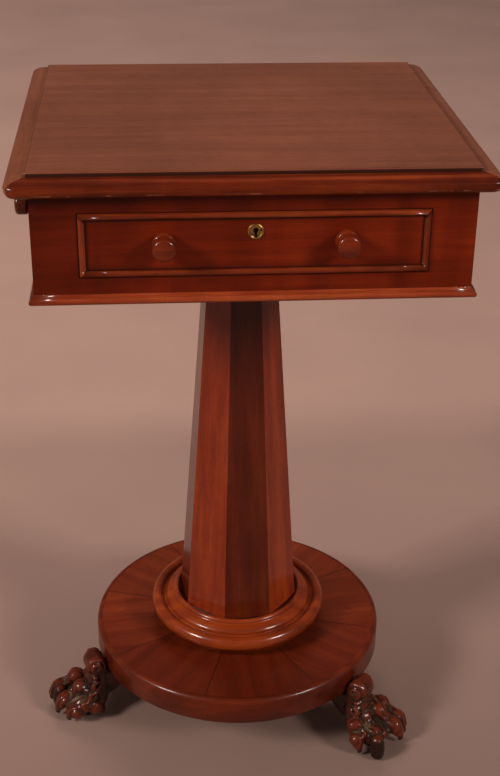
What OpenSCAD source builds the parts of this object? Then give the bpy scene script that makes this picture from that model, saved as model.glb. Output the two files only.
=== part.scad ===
// Occasional table: a square moulded top over a frieze with one drawer, on an octagonal
// tapering column with a turned collar, a round platform and three carved paw feet.
// Millimetres. The origin is on the floor under the column's axis, front to -Y, +Z up.

/* [Table top] */
// How far the raised field reaches past the frieze on the left and the right
field_over_w = 3; // [-7:0.5:40]
// How far the raised field reaches past the frieze at the front and the back
field_over_d = -1.5; // [-6:0.5:40]
// Height of the raised field above the moulded edge
field_rise = 4; // [1:0.5:5]
// Thickness of the top at the raised field
top_t = 20; // [18:0.5:30]
// Width of the moulded edge strips
edge_w = 18.25; // [13:0.25:30]
// Height of the moulding's widest line above its underside
edge_nose_h = 9; // [5:0.5:12]
// Corner radius of the moulded edge, seen from above
edge_corner_r = 12; // [3:0.5:16]

/* [Frieze] */
// Width of the frieze, left to right
frieze_w = 414; // [350:1:450]
// Depth of the frieze, front to back
frieze_d = 400; // [340:1:425]
// Height of the frieze boards
frieze_h = 98; // [88:1:140]
// Thickness of the frieze boards
frieze_t = 18; // [12:0.5:24]
// Width of the frame left and right of the drawer and of the sham drawers
stile_w = 43; // [36:0.5:60]
// Height of the rail above the drawer
top_rail_h = 18.5; // [14:0.5:26]
// Height of the rail below the drawer
bottom_rail_h = 16.5; // [12:0.5:26]
// Depth of both rails, front to back
rail_depth = 50; // [40:1:80]

/* [Base moulding] */
// Height of the moulding under the frieze
base_h = 10; // [7:0.5:16]
// How far the moulding stands out from the frieze
base_proud = 5; // [3:0.5:9]
// How far the moulding reaches in under the frieze boards
base_in = 20; // [14:1:30]
// Thickness of the board that closes the frieze from below
bottom_board_t = 10; // [6:0.5:14]

/* [Drawer] */
// Gap between the drawer front and its opening
drawer_gap = 0.5; // [0.3:0.1:1.5]
// Thickness of the drawer front without its bead
drawer_front_t = 19; // [17:0.5:25]
// Thickness of the drawer sides
drawer_side_t = 10; // [8:0.5:14]
// Thickness of the drawer back
drawer_back_t = 8; // [6:0.5:12]
// Thickness of the drawer bottom
drawer_bottom_t = 6; // [4:0.5:9]
// Height of the drawer bottom above the lower edges of the sides
drawer_bottom_rise = 6; // [4:0.5:12]
// Space left behind the closed drawer
drawer_rear_gap = 22; // [10:1:60]
// Width of the half-round bead round each drawer
bead_w = 6; // [4:0.5:8]
// Depth of the bead's rebate
bead_in = 6; // [3:0.5:7]

/* [Knobs] */
// Largest diameter of a knob
knob_d = 22.5; // [20:0.5:30]
// Diameter of the knob's foot against the wood
knob_foot_d = 22; // [18:0.5:24]
// Diameter of the knob's neck
knob_neck_d = 16; // [12:0.5:17]
// How far a knob stands out
knob_out = 24; // [19:0.5:28]
// Diameter of the knob's spigot
knob_spigot_d = 10; // [6:0.5:10]
// Length of the knob's spigot
knob_spigot_l = 12; // [8:0.5:14]
// Distance between the two knobs of a drawer
knob_spacing = 170; // [100:1:220]
// Height of the knobs above the middle of the drawer
knob_rise = 2; // [-4:0.5:7]

/* [Lock] */
// Width of the lock's plate
lock_w = 44; // [38:1:56]
// Height of the lock
lock_h = 30; // [30:0.5:33]
// Thickness of the lock
lock_t = 9.5; // [9:0.5:10]
// Distance of the keyhole below the drawer front's top edge
key_drop = 19.5; // [18:0.5:20]
// Width of the bolt
bolt_w = 14; // [8:0.5:18]
// Thickness of the bolt
bolt_t = 4; // [2.5:0.5:4.5]
// Travel of the bolt
bolt_travel = 6; // [3:0.5:8]
// Diameter of the escutcheon
escutcheon_d = 15.5; // [14:0.5:18]
// How far the escutcheon is sunk into the drawer front
escutcheon_in = 3; // [1:0.5:4]

/* [Column] */
// Height of the column between the platform and the frieze
column_h = 507; // [400:1:620]
// Width across the flats at the foot of the column
column_base_w = 137.5; // [100:0.5:150]
// Width across the flats at the top of the column
column_top_w = 71; // [66:1:95]
// Turn of the pedestal about its axis, in degrees
column_turn = 6; // [0:1:22]
// Diameter of the round tenons at both ends
tenon_d = 48; // [36:1:58]
// Length of the wedges in the tenons
wedge_l = 18; // [10:1:22]

/* [Collar] */
// Gap between the column's corners and the collar
collar_gap = 1; // [0.5:0.5:6]
// Width of the lower ring
lower_ring_w = 30; // [26:0.5:42]
// Height of the lower ring
lower_ring_h = 27.5; // [24:0.5:36]
// Width of the upper ring
upper_ring_w = 14; // [12:0.5:20]
// Height of the upper ring
upper_ring_h = 12.5; // [8:0.5:18]

/* [Platform] */
// Diameter of the platform
platform_d = 348; // [320:1:420]
// Thickness of the platform
platform_t = 32; // [24:0.5:40]
// Thickness of the band round the edge
edge_band_t = 6.5; // [4:0.5:9]
// Thickness of the veneer on top
veneer_t = 1.5; // [0.6:0.1:3]

/* [Feet] */
// Height of the platform above the floor
foot_h = 68; // [62:1:90]
// Direction of the left foot, in degrees from +X
feet_turn = -162; // [-175:1:-150]
// Length of a foot's arm under the platform
arm_l = 69; // [60:1:85]
// Width of the arm and the leg
leg_w = 32; // [28:1:40]
// Reach of the toes past the platform's edge
toe_reach = 65; // [60:1:72]
// Width of the paw over its outer toes
paw_w = 77; // [72:1:88]
// Height of the paw over its knuckles
paw_h = 50; // [46:1:54]
// Height of the toes' tips above the floor
toe_lift = 9; // [5:0.5:12]
// Diameter of the long claw
claw_d = 17; // [12:0.5:19]
// Width of the scroll above the leg
scroll_w = 31; // [28:1:44]
// Height of the scroll
scroll_h = 26; // [22:1:30]
// Thickness of the scroll, away from the platform
scroll_t = 25; // [20:1:30]
// Diameter of the dowels in the feet
dowel_d = 12; // [8:1:16]

/* [Hidden] */

$fn = 72;

// Clearances: round fits, flat fits that slide, and cuts that run past a face
fit = 0.05;
slide_fit = 0.1;
rim_fit = 0.3;
past = 1;

// Heights from the floor up
platform_z = foot_h + platform_t;
column_top_z = platform_z + column_h;
frieze_z = column_top_z + bottom_board_t;
open_z0 = frieze_z + bottom_rail_h;
frieze_top_z = frieze_z + frieze_h;
open_z1 = frieze_top_z - top_rail_h;
open_h = open_z1 - open_z0;
open_mid_z = (open_z0 + open_z1) / 2;
knob_z = open_mid_z + knob_rise;

// Top
field_w = frieze_w + 2 * field_over_w;
field_d = frieze_d + 2 * field_over_d;

// Frieze
half_w = frieze_w / 2;
half_d = frieze_d / 2;
inner_w = half_w - frieze_t;
inner_d = half_d - frieze_t;
open_w = frieze_w - 2 * stile_w;
sham_side_w = frieze_d - 2 * stile_w;
rail_back_y = -half_d + rail_depth;
bearer_gap = 2;
bearer_t = bottom_rail_h - bearer_gap;
bearer_w = 160;
runner_in = drawer_side_t + 3;
guide_h = 15;
block_w = stile_w - frieze_t - 8;
block_gap = 2;

// Drawer
dr_half = open_w / 2 - drawer_gap;
dr_z0 = open_z0 + drawer_gap;
dr_z1 = open_z1 - drawer_gap;
dr_h = dr_z1 - dr_z0;
dr_back_y = -half_d + drawer_front_t;
dr_end_y = inner_d - drawer_rear_gap;
side_z1 = dr_z1 - 1;
side_h = side_z1 - open_z0;
bottom_z = open_z0 + drawer_bottom_rise;
bottom_top_z = bottom_z + drawer_bottom_t;
groove = drawer_side_t / 2;
back_z1 = side_z1 - 4;
tail_l = drawer_front_t - bead_in - 2;
stop_gap = 0.2;
stop_h = drawer_bottom_rise - 2;
stop_w = 30;
stop_x = 60;
stop_l = rail_depth - drawer_front_t - stop_gap - 8;

// Lock
key_z = dr_z1 - key_drop;
lock_plate_t = 1.5;
lock_case_w = lock_w - 10;
lock_case_h = lock_h - 2;
lock_in_y = dr_back_y - lock_t;
bolt_l = 14;
bolt_y = lock_in_y + 4;
cavity_r = 5;
keyhole_r = 2.5;
keyhole_slot_w = 2.4;
keyhole_slot_l = 5.6;

// Column, collar, platform
corner_ratio = 1 / cos(22.5);
collar_r = column_base_w / 2 * corner_ratio + collar_gap;
lower_r = collar_r + lower_ring_w;
upper_r = collar_r + upper_ring_w;
core_r = platform_d / 2 - edge_band_t;
rim_r = platform_d / 2;
veneer_in_r = tenon_d / 2 + 14;
tenon_top_l = bottom_board_t + bearer_t;
wedge_t0 = 3;
wedge_t1 = 1;
seam_angle = 0.08;

// Feet
feet = [feet_turn, feet_turn + 120, feet_turn + 240];
scroll_z = foot_h + 4.5;
dowel_in_foot = 14;
dowel_in_platform = 16;
dowel_x = [rim_r - 44, rim_r - 17];
toe_fn = 18;
toe_r = paw_w / 7.7;
tip_r = toe_r * 0.75;
toe_x = rim_r + toe_reach - tip_r;
outer_y = paw_w / 2 - toe_r;
// Toes: how far each is set back, in radii of a toe, the share of its full length, the places of
// its two knuckles and its tip across the paw as shares of outer_y, and how much lower it lies
toes_left = [
    [0, 1, [-0.75, -1, -1.08], 0],
    [0, 1, [0.05, -0.08, -0.14], 0],
    [1.9, 0.6, [0.28, 0.3, 0.3], 0.4],
    [0.9, 1, [0.64, 0.6, 0.5], 1.9]
];
toes_right = [
    [0.4, 1, [0.82, 1.05, 1.08], 0],
    [0, 1, [0.38, 0.56, 0.64], 0],
    [1.2, 0.9, [-0.18, -0.36, -0.45], 0.2],
    [2.6, 0.4, [-0.75, -1, -1.08], 0.7]
];
claw_y = toe_r * -2.2;

// Colours
mahogany = [0.40, 0.14, 0.07];
mahogany_light = [0.52, 0.20, 0.08];
carved = [0.30, 0.11, 0.06];
pine = [0.72, 0.55, 0.34];
oak = [0.60, 0.44, 0.27];
brass = [0.74, 0.58, 0.30];
steel = [0.55, 0.55, 0.56];

// Points of an elliptic arc round c with half axes a and b, from angle a0 to a1 in n steps
function arc(c, a, b, a0, a1, n) = [
    for (i = [0 : n])
        let (t = a0 + (a1 - a0) * i / n)
            [c[0] + a * cos(t), c[1] + b * sin(t)]
];

// Section of the top's edge: x outwards from the board, y up. A quarter ellipse falls from the
// field to the widest line and a smaller one runs back under.
edge_h = top_t - field_rise;
edge_under = edge_w / 3;
edge_section = concat(
    [[0, 0]],
    arc([edge_w - edge_under, edge_nose_h], edge_under, edge_nose_h, -90, 0, 8),
    arc([0, edge_nose_h], edge_w, edge_h - edge_nose_h, 0, 90, 12)
);

// Section of the base moulding: x outwards from the frieze face, y up. A bead below, a cove above.
base_bead_r = base_h * 0.35;
base_section = concat(
    [[-base_in, 0]],
    arc([base_proud - base_bead_r, base_bead_r], base_bead_r, base_bead_r, -90, 70, 10),
    arc([base_proud, base_h], base_proud, base_h - 2.2 * base_bead_r, 250, 180, 6),
    [[-base_in, base_h]]
);

// Moulded strip along one side of a rectangle: section carried along X, outwards to -Y, mitred
// from the inner line run_l long, its corners rounded by corner_r at the outer edge.
module mitred_strip(section, run_l, depth_out, depth_in, height, corner_r) {
    r = corner_r;
    half = run_l / 2;
    reach = half + depth_out - r;
    intersection() {
        rotate([90, 0, -90])
            translate([0, 0, -half - depth_out])
                linear_extrude(run_l + 2 * depth_out)
                    polygon(section);
        translate([0, 0, -past])
            linear_extrude(height + 2 * past)
                polygon([
                    [-half + depth_in, depth_in], [half - depth_in, depth_in], [reach, -depth_out + r],
                    [reach, -depth_out], [-reach, -depth_out], [-reach, -depth_out + r]
                ]);
    }
    if (r > 0)
        for (side = [0, 1])
            mirror([side, 0, 0])
                translate([reach, -depth_out + r, 0])
                    rotate([0, 0, -90])
                        rotate_extrude(angle = 45)
                            intersection() {
                                translate([r - depth_out, 0])
                                    polygon(section);
                                translate([0, -past])
                                    square([depth_out, height + 2 * past]);
                            }
}

// The four strips round a rectangle w by d: which is 0 front, 1 right, 2 back, 3 left
module strip_at(which, w, d) {
    turned = which % 2 == 1;
    rotate([0, 0, which * 90])
        translate([0, -(turned ? w : d) / 2, 0])
            children();
}

module top_strip(which) {
    turned = which % 2 == 1;
    color(mahogany_light)
        translate([0, 0, frieze_top_z])
            strip_at(which, field_w, field_d)
                mitred_strip(edge_section, turned ? field_d : field_w, edge_w, 0, edge_h,
                    min(edge_corner_r, edge_w - 1));
}

module base_strip(which) {
    turned = which % 2 == 1;
    color(mahogany_light)
        translate([0, 0, frieze_z - base_h])
            strip_at(which, frieze_w, frieze_d)
                mitred_strip(base_section, turned ? frieze_d : frieze_w, base_proud, base_in, base_h, 0);
}

// Box from its lowest corner to its highest
module span_box(lo, hi) {
    translate(lo)
        cube(hi - lo);
}

// Countersunk screw, head down at z = 0, pointing up
module screw(l, d, head_d, grow = 0) {
    taper = (head_d - d) / 2;
    difference() {
        rotate_extrude()
            polygon([
                [0, -grow], [head_d / 2 + grow, -grow], [head_d / 2 + grow, 0.4],
                [d / 2 + grow, 0.4 + taper], [d / 2 + grow, l - d + grow], [0, l + grow]
            ]);
        if (grow == 0)
            translate([-head_d, -0.5, -past])
                cube([2 * head_d, 1, past + 0.8]);
    }
}

screw_d = 4.5;
screw_head_d = 9;
top_screw_l = top_rail_h + 12;
bearer_screw_l = bottom_board_t + bearer_t - 2;
lock_screw_d = 2.2;
lock_screw_head_d = 4;
lock_screw_l = 8;

module top_screw_places() {
    x = (inner_w + open_w / 2 - runner_in) / 2;
    y0 = rail_back_y + 30;
    y1 = inner_d - 30;
    for (sx = [-1, 1])
        for (i = [0 : 2])
            translate([sx * x, y0 + (y1 - y0) * i / 2, open_z1])
                children();
}

module bearer_screw_places() {
    y0 = rail_back_y + 30;
    y1 = inner_d - 30;
    for (sx = [-1, 1])
        for (i = [0 : 2])
            translate([sx * (bearer_w / 2 - 18), y0 + (y1 - y0) * i / 2, column_top_z])
                children();
}

module lock_screw_places() {
    for (sx = [-1, 1])
        for (z = [dr_z1 - 5, dr_z1 - lock_h + 5])
            translate([sx * (lock_w + lock_case_w + 1) / 4, dr_back_y, z])
                rotate([90, 0, 0])
                    children();
}

// Top

module top_board() {
    color(mahogany)
        difference() {
            translate([-field_w / 2, -field_d / 2, frieze_top_z])
                cube([field_w, field_d, top_t]);
            top_screw_places()
                screw(top_screw_l, screw_d, screw_head_d, fit);
        }
}

module top_moulding_front() {
    top_strip(0);
}

module top_moulding_right() {
    top_strip(1);
}

module top_moulding_back() {
    top_strip(2);
}

module top_moulding_left() {
    top_strip(3);
}

// Half-round bead strip along X from 0 to l, mitred inwards to +Z, standing out to -Y
module bead_strip(l) {
    r = bead_w / 2;
    gap = slide_fit / 2;
    intersection() {
        union() {
            span_box([0, 0, 0], [l, bead_in, bead_w]);
            translate([0, 0, r])
                rotate([0, 90, 0])
                    cylinder(r = r, h = l);
        }
        rotate([90, 0, 0])
            translate([0, 0, -bead_in - past])
                linear_extrude(bead_in + bead_w + 2 * past)
                    polygon([[gap, 0], [l - gap, 0], [l - bead_w - gap, bead_w], [bead_w + gap, bead_w]]);
    }
}

// One of the four strips round an opening w by h whose middle is the origin: 0 bottom, 1 right,
// 2 top, 3 left
module bead_at(which, w, h) {
    turned = which % 2 == 1;
    rotate([0, -which * 90, 0])
        translate([-(turned ? h : w) / 2, 0, -(turned ? w : h) / 2])
            bead_strip(turned ? h : w);
}

module bead_frame(w, h) {
    for (i = [0 : 3])
        bead_at(i, w, h);
}

// The rebate that the bead strips sit in
module bead_groove(w, h) {
    difference() {
        translate([-w / 2, -past, -h / 2])
            cube([w, bead_in + past, h]);
        translate([-w / 2 + bead_w, -2 * past, -h / 2 + bead_w])
            cube([w - 2 * bead_w, bead_in + 3 * past, h - 2 * bead_w]);
    }
}

// Knob standing out to -Y from the origin: a foot ring, a groove and a head with a nearly flat face
module knob() {
    groove_y = knob_out * 0.4;
    groove_r = 0.8;
    ring_r = 2.5;
    rim_r = knob_out * 0.15;
    face_r = knob_d / 2 - rim_r;
    face_rise = knob_out * 0.04;
    dome_r = (face_r * face_r + face_rise * face_rise) / (2 * face_rise);
    rotate([90, 0, 0])
        rotate_extrude()
            polygon(concat(
                [[0, -knob_spigot_l], [knob_spigot_d / 2, -knob_spigot_l], [knob_spigot_d / 2, 0]],
                [[knob_foot_d / 2 - 0.6, 0]],
                arc([knob_foot_d / 2 - ring_r, ring_r], ring_r, ring_r, -60, 0, 4),
                arc([knob_foot_d / 2 - ring_r, groove_y - groove_r - ring_r], ring_r, ring_r, 0, 75, 6),
                arc([knob_neck_d / 2 + groove_r, groove_y], groove_r, groove_r, 240, 120, 4),
                arc([knob_d / 2 - ring_r, groove_y + groove_r + ring_r], ring_r, ring_r, -75, 0, 5),
                arc([face_r, knob_out - face_rise - rim_r], rim_r, rim_r, 0, 90, 7),
                arc([0, knob_out - dome_r], dome_r, dome_r, 90 - asin(face_r / dome_r), 90, 4)
            ));
}

module knob_bore() {
    rotate([-90, 0, 0])
        translate([0, 0, -past])
            cylinder(r = knob_spigot_d / 2 + fit, h = knob_spigot_l + past + fit);
}

// Places a child that faces -Y on a side of the frieze: 0 front, 1 right, 2 back, 3 left
module on_side(which, z) {
    rotate([0, 0, which * 90])
        translate([0, -(which % 2 == 1 ? half_w : half_d), z])
            children();
}

module knob_pair() {
    for (sx = [-1, 1])
        translate([sx * knob_spacing / 2, 0, 0])
            children();
}

module frieze_side(which) {
    color(mahogany)
        difference() {
            mirror([which == 3 ? 1 : 0, 0, 0])
                span_box([inner_w, -inner_d, frieze_z], [half_w, half_d, frieze_top_z]);
            on_side(which, open_mid_z)
                bead_groove(sham_side_w, open_h);
            on_side(which, knob_z)
                knob_pair()
                    knob_bore();
        }
}

module frieze_left() {
    frieze_side(3);
}

module frieze_right() {
    frieze_side(1);
}

module frieze_back() {
    color(mahogany)
        difference() {
            span_box([-inner_w, inner_d, frieze_z], [inner_w, half_d, frieze_top_z]);
            on_side(2, open_mid_z)
                bead_groove(open_w, open_h);
            on_side(2, knob_z)
                knob_pair()
                    knob_bore();
        }
}

module front_stile() {
    color(mahogany)
        span_box([open_w / 2, -half_d, frieze_z], [half_w, -inner_d, frieze_top_z]);
}

module front_stile_left() {
    mirror([1, 0, 0])
        front_stile();
}

module front_stile_right() {
    front_stile();
}

// Rail across the front, its ends shouldered round the stiles
module front_rail(z0, z1) {
    color(mahogany)
        translate([0, 0, z0])
            linear_extrude(z1 - z0)
                polygon([
                    [-open_w / 2, -half_d], [open_w / 2, -half_d],
                    [open_w / 2, -inner_d], [inner_w, -inner_d],
                    [inner_w, rail_back_y], [-inner_w, rail_back_y],
                    [-inner_w, -inner_d], [-open_w / 2, -inner_d]
                ]);
}

module front_rail_top() {
    color(mahogany)
        difference() {
            front_rail(open_z1, frieze_top_z);
            translate([0, bolt_y, open_z1 + (bolt_travel + 2 - past) / 2])
                cube([bolt_w + 2, bolt_t + 2, bolt_travel + 2 + past], center = true);
        }
}

module front_rail_bottom() {
    front_rail(frieze_z, open_z0);
}

module base_moulding_front() {
    base_strip(0);
}

module base_moulding_right() {
    base_strip(1);
}

module base_moulding_back() {
    base_strip(2);
}

module base_moulding_left() {
    base_strip(3);
}

module bottom_board() {
    color(pine)
        difference() {
            translate([-half_w + base_in, -half_d + base_in, column_top_z])
                cube([frieze_w - 2 * base_in, frieze_d - 2 * base_in, bottom_board_t]);
            translate([0, 0, column_top_z - past])
                cylinder(d = tenon_d + 2 * fit, h = bottom_board_t + 2 * past);
            bearer_screw_places()
                screw(bearer_screw_l, screw_d, screw_head_d, fit);
        }
}

module column_bearer() {
    color(pine)
        difference() {
            span_box([-bearer_w / 2, rail_back_y, frieze_z], [bearer_w / 2, inner_d, frieze_z + bearer_t]);
            translate([0, 0, frieze_z - past])
                cylinder(d = tenon_d + 2 * fit, h = bearer_t + 2 * past);
            bearer_screw_places()
                screw(bearer_screw_l, screw_d, screw_head_d, fit);
        }
}

// Runner under the right side of the drawer, with the guide beside it
module drawer_runner() {
    color(pine) {
        span_box([open_w / 2 - runner_in, rail_back_y, frieze_z], [inner_w, inner_d, open_z0]);
        span_box([open_w / 2, rail_back_y, open_z0 - past], [inner_w, inner_d, open_z0 + guide_h]);
    }
}

module drawer_runner_left() {
    mirror([1, 0, 0])
        drawer_runner();
}

module drawer_runner_right() {
    drawer_runner();
}

module drawer_kicker(which) {
    color(pine)
        difference() {
            mirror([which, 0, 0])
                span_box([open_w / 2 - runner_in, rail_back_y, open_z1], [inner_w, inner_d, frieze_top_z]);
            top_screw_places()
                screw(top_screw_l, screw_d, screw_head_d, fit);
        }
}

module drawer_kicker_left() {
    drawer_kicker(1);
}

module drawer_kicker_right() {
    drawer_kicker(0);
}

module drawer_stops() {
    color(pine)
        for (sx = [0, 1])
            mirror([sx, 0, 0])
                translate([stop_x, dr_back_y + stop_gap, open_z0])
                    cube([stop_w, stop_l, stop_h]);
}

module corner_blocks() {
    color(pine)
        for (mx = [0, 1])
            for (my = [0, 1])
                mirror([mx, 0, 0])
                    mirror([0, my, 0])
                        translate([inner_w, -inner_d, open_z0 + guide_h + block_gap])
                            linear_extrude(open_z1 - open_z0 - guide_h - 2 * block_gap)
                                polygon([[0, 0], [-block_w, 0], [0, block_w]]);
}

module sham_beads(which) {
    color(mahogany_light)
        on_side(which, open_mid_z)
            bead_frame(which == 2 ? open_w : sham_side_w, open_h);
}

module sham_beads_left() {
    sham_beads(3);
}

module sham_beads_right() {
    sham_beads(1);
}

module sham_beads_back() {
    sham_beads(2);
}

module sham_knobs(which) {
    color(mahogany_light)
        on_side(which, knob_z)
            knob_pair()
                knob();
}

module sham_knobs_left() {
    sham_knobs(3);
}

module sham_knobs_right() {
    sham_knobs(1);
}

module sham_knobs_back() {
    sham_knobs(2);
}

// Drawer

// Row of dovetails pointing to -Y, n of them over the height h
module tails(n, h, l) {
    pitch = h / n;
    root_half = pitch * 0.28;
    tip_half = root_half + l / 6;
    for (i = [0 : n - 1])
        translate([0, 0, pitch * (i + 0.5)])
            rotate([90, 0, 90])
                linear_extrude(drawer_side_t)
                    polygon([[0, -root_half], [-l, -tip_half], [-l, tip_half], [0, root_half]]);
}

module front_tails() {
    translate([dr_half - drawer_side_t, dr_back_y, open_z0])
        tails(3, side_h, tail_l);
}

module back_tails() {
    translate([dr_half - drawer_side_t, dr_end_y - drawer_back_t, bottom_top_z])
        mirror([0, 1, 0])
            tails(2, back_z1 - bottom_top_z, drawer_back_t);
}

// Keyhole through a plate, along Y, a little larger by grow
module keyhole(y0, y1, grow) {
    translate([0, y1, key_z])
        rotate([90, 0, 0])
            linear_extrude(y1 - y0) {
                translate([0, 1.2])
                    circle(r = keyhole_r + grow, $fn = 32);
                translate([-keyhole_slot_w / 2 - grow, -keyhole_slot_l - grow])
                    square([keyhole_slot_w + 2 * grow, keyhole_slot_l + 1.2 + grow]);
            }
}

// Pocket for the lock in the back of the drawer front
module lock_pocket() {
    g = slide_fit;
    plate = [lock_w / 2 + g, dr_back_y - lock_plate_t - g, dr_z1 - lock_h - g];
    case = [lock_case_w / 2 + g, lock_in_y - g, dr_z1 - lock_case_h - g];
    span_box([-plate[0], plate[1], plate[2]], [plate[0], dr_back_y + past, dr_z1 + past]);
    span_box([-case[0], case[1], case[2]], [case[0], dr_back_y, dr_z1 + past]);
}

module drawer_front() {
    color(mahogany)
        difference() {
            span_box([-dr_half, -half_d, dr_z0], [dr_half, dr_back_y, dr_z1]);
            translate([0, -half_d, open_mid_z])
                bead_groove(2 * dr_half, dr_h);
            for (side = [0, 1])
                mirror([side, 0, 0])
                    front_tails();
            translate([-dr_half + drawer_side_t, dr_back_y - groove, bottom_z])
                cube([2 * (dr_half - drawer_side_t), groove + past, drawer_bottom_t]);
            translate([0, -half_d, knob_z])
                knob_pair()
                    knob_bore();
            translate([0, -half_d + escutcheon_in, key_z])
                rotate([90, 0, 0])
                    cylinder(d = escutcheon_d + 2 * fit, h = escutcheon_in + past);
            keyhole(-half_d, lock_in_y + past, 0.4);
            lock_pocket();
            lock_screw_places()
                screw(lock_screw_l, lock_screw_d, lock_screw_head_d, fit);
        }
}

module drawer_side() {
    in_x = dr_half - drawer_side_t;
    color(oak)
        difference() {
            union() {
                span_box([in_x, dr_back_y, open_z0], [dr_half, dr_end_y - drawer_back_t, side_z1]);
                front_tails();
                back_tails();
            }
            span_box([in_x - past, dr_back_y, bottom_z], [in_x + groove, dr_end_y + past, bottom_top_z]);
            span_box([in_x - past, -half_d, open_z0 - past], [dr_half + past, dr_back_y, dr_z0]);
        }
}

module drawer_side_left() {
    mirror([1, 0, 0])
        drawer_side();
}

module drawer_side_right() {
    drawer_side();
}

module drawer_back() {
    color(oak)
        difference() {
            span_box([-dr_half, dr_end_y - drawer_back_t, bottom_top_z], [dr_half, dr_end_y, back_z1]);
            for (side = [0, 1])
                mirror([side, 0, 0])
                    back_tails();
        }
}

module drawer_bottom() {
    in_w = dr_half - drawer_side_t;
    color(oak)
        translate([0, 0, bottom_z])
            linear_extrude(drawer_bottom_t)
                polygon([
                    [-in_w, dr_back_y - groove], [in_w, dr_back_y - groove], [in_w, dr_back_y],
                    [in_w + groove, dr_back_y], [in_w + groove, dr_end_y], [-in_w - groove, dr_end_y],
                    [-in_w - groove, dr_back_y], [-in_w, dr_back_y]
                ]);
}

module drawer_bead(which) {
    color(mahogany_light)
        translate([0, -half_d, open_mid_z])
            bead_at(which, 2 * dr_half, dr_h);
}

module drawer_bead_bottom() {
    drawer_bead(0);
}

module drawer_bead_right() {
    drawer_bead(1);
}

module drawer_bead_top() {
    drawer_bead(2);
}

module drawer_bead_left() {
    drawer_bead(3);
}

module drawer_knob(side) {
    color(mahogany_light)
        translate([side * knob_spacing / 2, -half_d, knob_z])
            knob();
}

module drawer_knob_left() {
    drawer_knob(-1);
}

module drawer_knob_right() {
    drawer_knob(1);
}

// Round brass plate with a raised rim and a keyhole
module escutcheon() {
    r = escutcheon_d / 2;
    color(brass)
        difference() {
            translate([0, -half_d + escutcheon_in, key_z])
                rotate([90, 0, 0])
                    rotate_extrude()
                        polygon(concat(
                            [[0, 0], [r, 0]],
                            arc([r - 1.2, escutcheon_in], 1.2, 1, 0, 180, 8),
                            [[0, escutcheon_in - 0.3]]
                        ));
            keyhole(-half_d - 2 * past, -half_d + escutcheon_in + past, 0);
        }
}

// Lock let into the back of the drawer front, open at the top for its bolt
module lock_body() {
    wall = 1.2;
    color(brass) {
        difference() {
            union() {
                translate([-lock_w / 2, dr_back_y - lock_plate_t, dr_z1 - lock_h])
                    cube([lock_w, lock_plate_t, lock_h]);
                translate([-lock_case_w / 2, lock_in_y, dr_z1 - lock_case_h])
                    cube([lock_case_w, dr_back_y - past - lock_in_y, lock_case_h]);
            }
            translate([0, bolt_y, dr_z1 - (bolt_l + 1.5 - past) / 2])
                cube([bolt_w + 2 * slide_fit, bolt_t + 2 * slide_fit, bolt_l + 1.5 + past], center = true);
            translate([0, bolt_y + bolt_t / 2 + slide_fit, key_z])
                rotate([90, 0, 0])
                    cylinder(r = cavity_r, h = bolt_y + bolt_t / 2 + slide_fit - lock_in_y - wall);
            keyhole(lock_in_y - past, lock_in_y + wall + past, 0.3);
            lock_screw_places()
                screw(lock_screw_l, lock_screw_d, lock_screw_head_d, fit);
        }
        translate([0, bolt_y + bolt_t / 2 + slide_fit + past / 2, key_z + 1.2])
            rotate([90, 0, 0])
                cylinder(r = 0.9, h = bolt_y + bolt_t / 2 + slide_fit + past / 2 - lock_in_y);
    }
}

module lock_bolt() {
    color(steel)
        translate([-bolt_w / 2, bolt_y - bolt_t / 2, dr_z1 - bolt_l - 0.3])
            cube([bolt_w, bolt_t, bolt_l]);
}

module lock_screws() {
    color(steel)
        lock_screw_places()
            screw(lock_screw_l, lock_screw_d, lock_screw_head_d);
}

// Pedestal

// Slot for the wedge in a tenon whose end is at the origin, the tenon above it
module wedge_shape(l) {
    rotate([0, 0, column_turn])
        rotate([90, 0, 0])
            translate([0, 0, -l / 2])
                linear_extrude(l)
                    polygon([
                        [-wedge_t0 / 2, 0], [wedge_t0 / 2, 0],
                        [wedge_t1 / 2, wedge_l], [-wedge_t1 / 2, wedge_l]
                    ]);
}

module wedge_pair(l) {
    translate([0, 0, foot_h])
        wedge_shape(l);
    translate([0, 0, column_top_z + tenon_top_l])
        mirror([0, 0, 1])
            wedge_shape(l);
}

// Octagonal taper as the common part of four tapered slabs, with a round tenon at each end
module column() {
    color(mahogany)
        difference() {
            union() {
                translate([0, 0, platform_z])
                    rotate([0, 0, column_turn])
                        intersection_for (i = [0 : 3])
                            rotate([0, 0, i * 45])
                                rotate([90, 0, 0])
                                    translate([0, 0, -column_base_w])
                                        linear_extrude(2 * column_base_w)
                                            polygon([
                                                [-column_base_w / 2, 0], [column_base_w / 2, 0],
                                                [column_top_w / 2, column_h], [-column_top_w / 2, column_h]
                                            ]);
                translate([0, 0, foot_h])
                    cylinder(d = tenon_d, h = platform_t + past);
                translate([0, 0, column_top_z - past])
                    cylinder(d = tenon_d, h = tenon_top_l + past);
            }
            wedge_pair(tenon_d + 2 * past);
        }
}

module column_wedges() {
    color(oak)
        wedge_pair(tenon_d - 4);
}

// Lower ring: a neck, a bead that overhangs it and a seat for the upper ring
module collar_lower() {
    neck_r = lower_r - lower_ring_w / 2;
    bead_out = lower_ring_w * 0.22;
    bead_up = lower_ring_h * 0.3;
    bead_z = lower_ring_h * 0.82;
    color(mahogany_light)
        translate([0, 0, platform_z])
            rotate_extrude()
                polygon(concat(
                    [[collar_r, 0], [neck_r, 0], [neck_r, bead_z - bead_up]],
                    arc([lower_r - bead_out, bead_z], bead_out, bead_up, -140, 140, 20),
                    [[upper_r + 0.5, lower_ring_h], [collar_r, lower_ring_h]]
                ));
}

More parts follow.
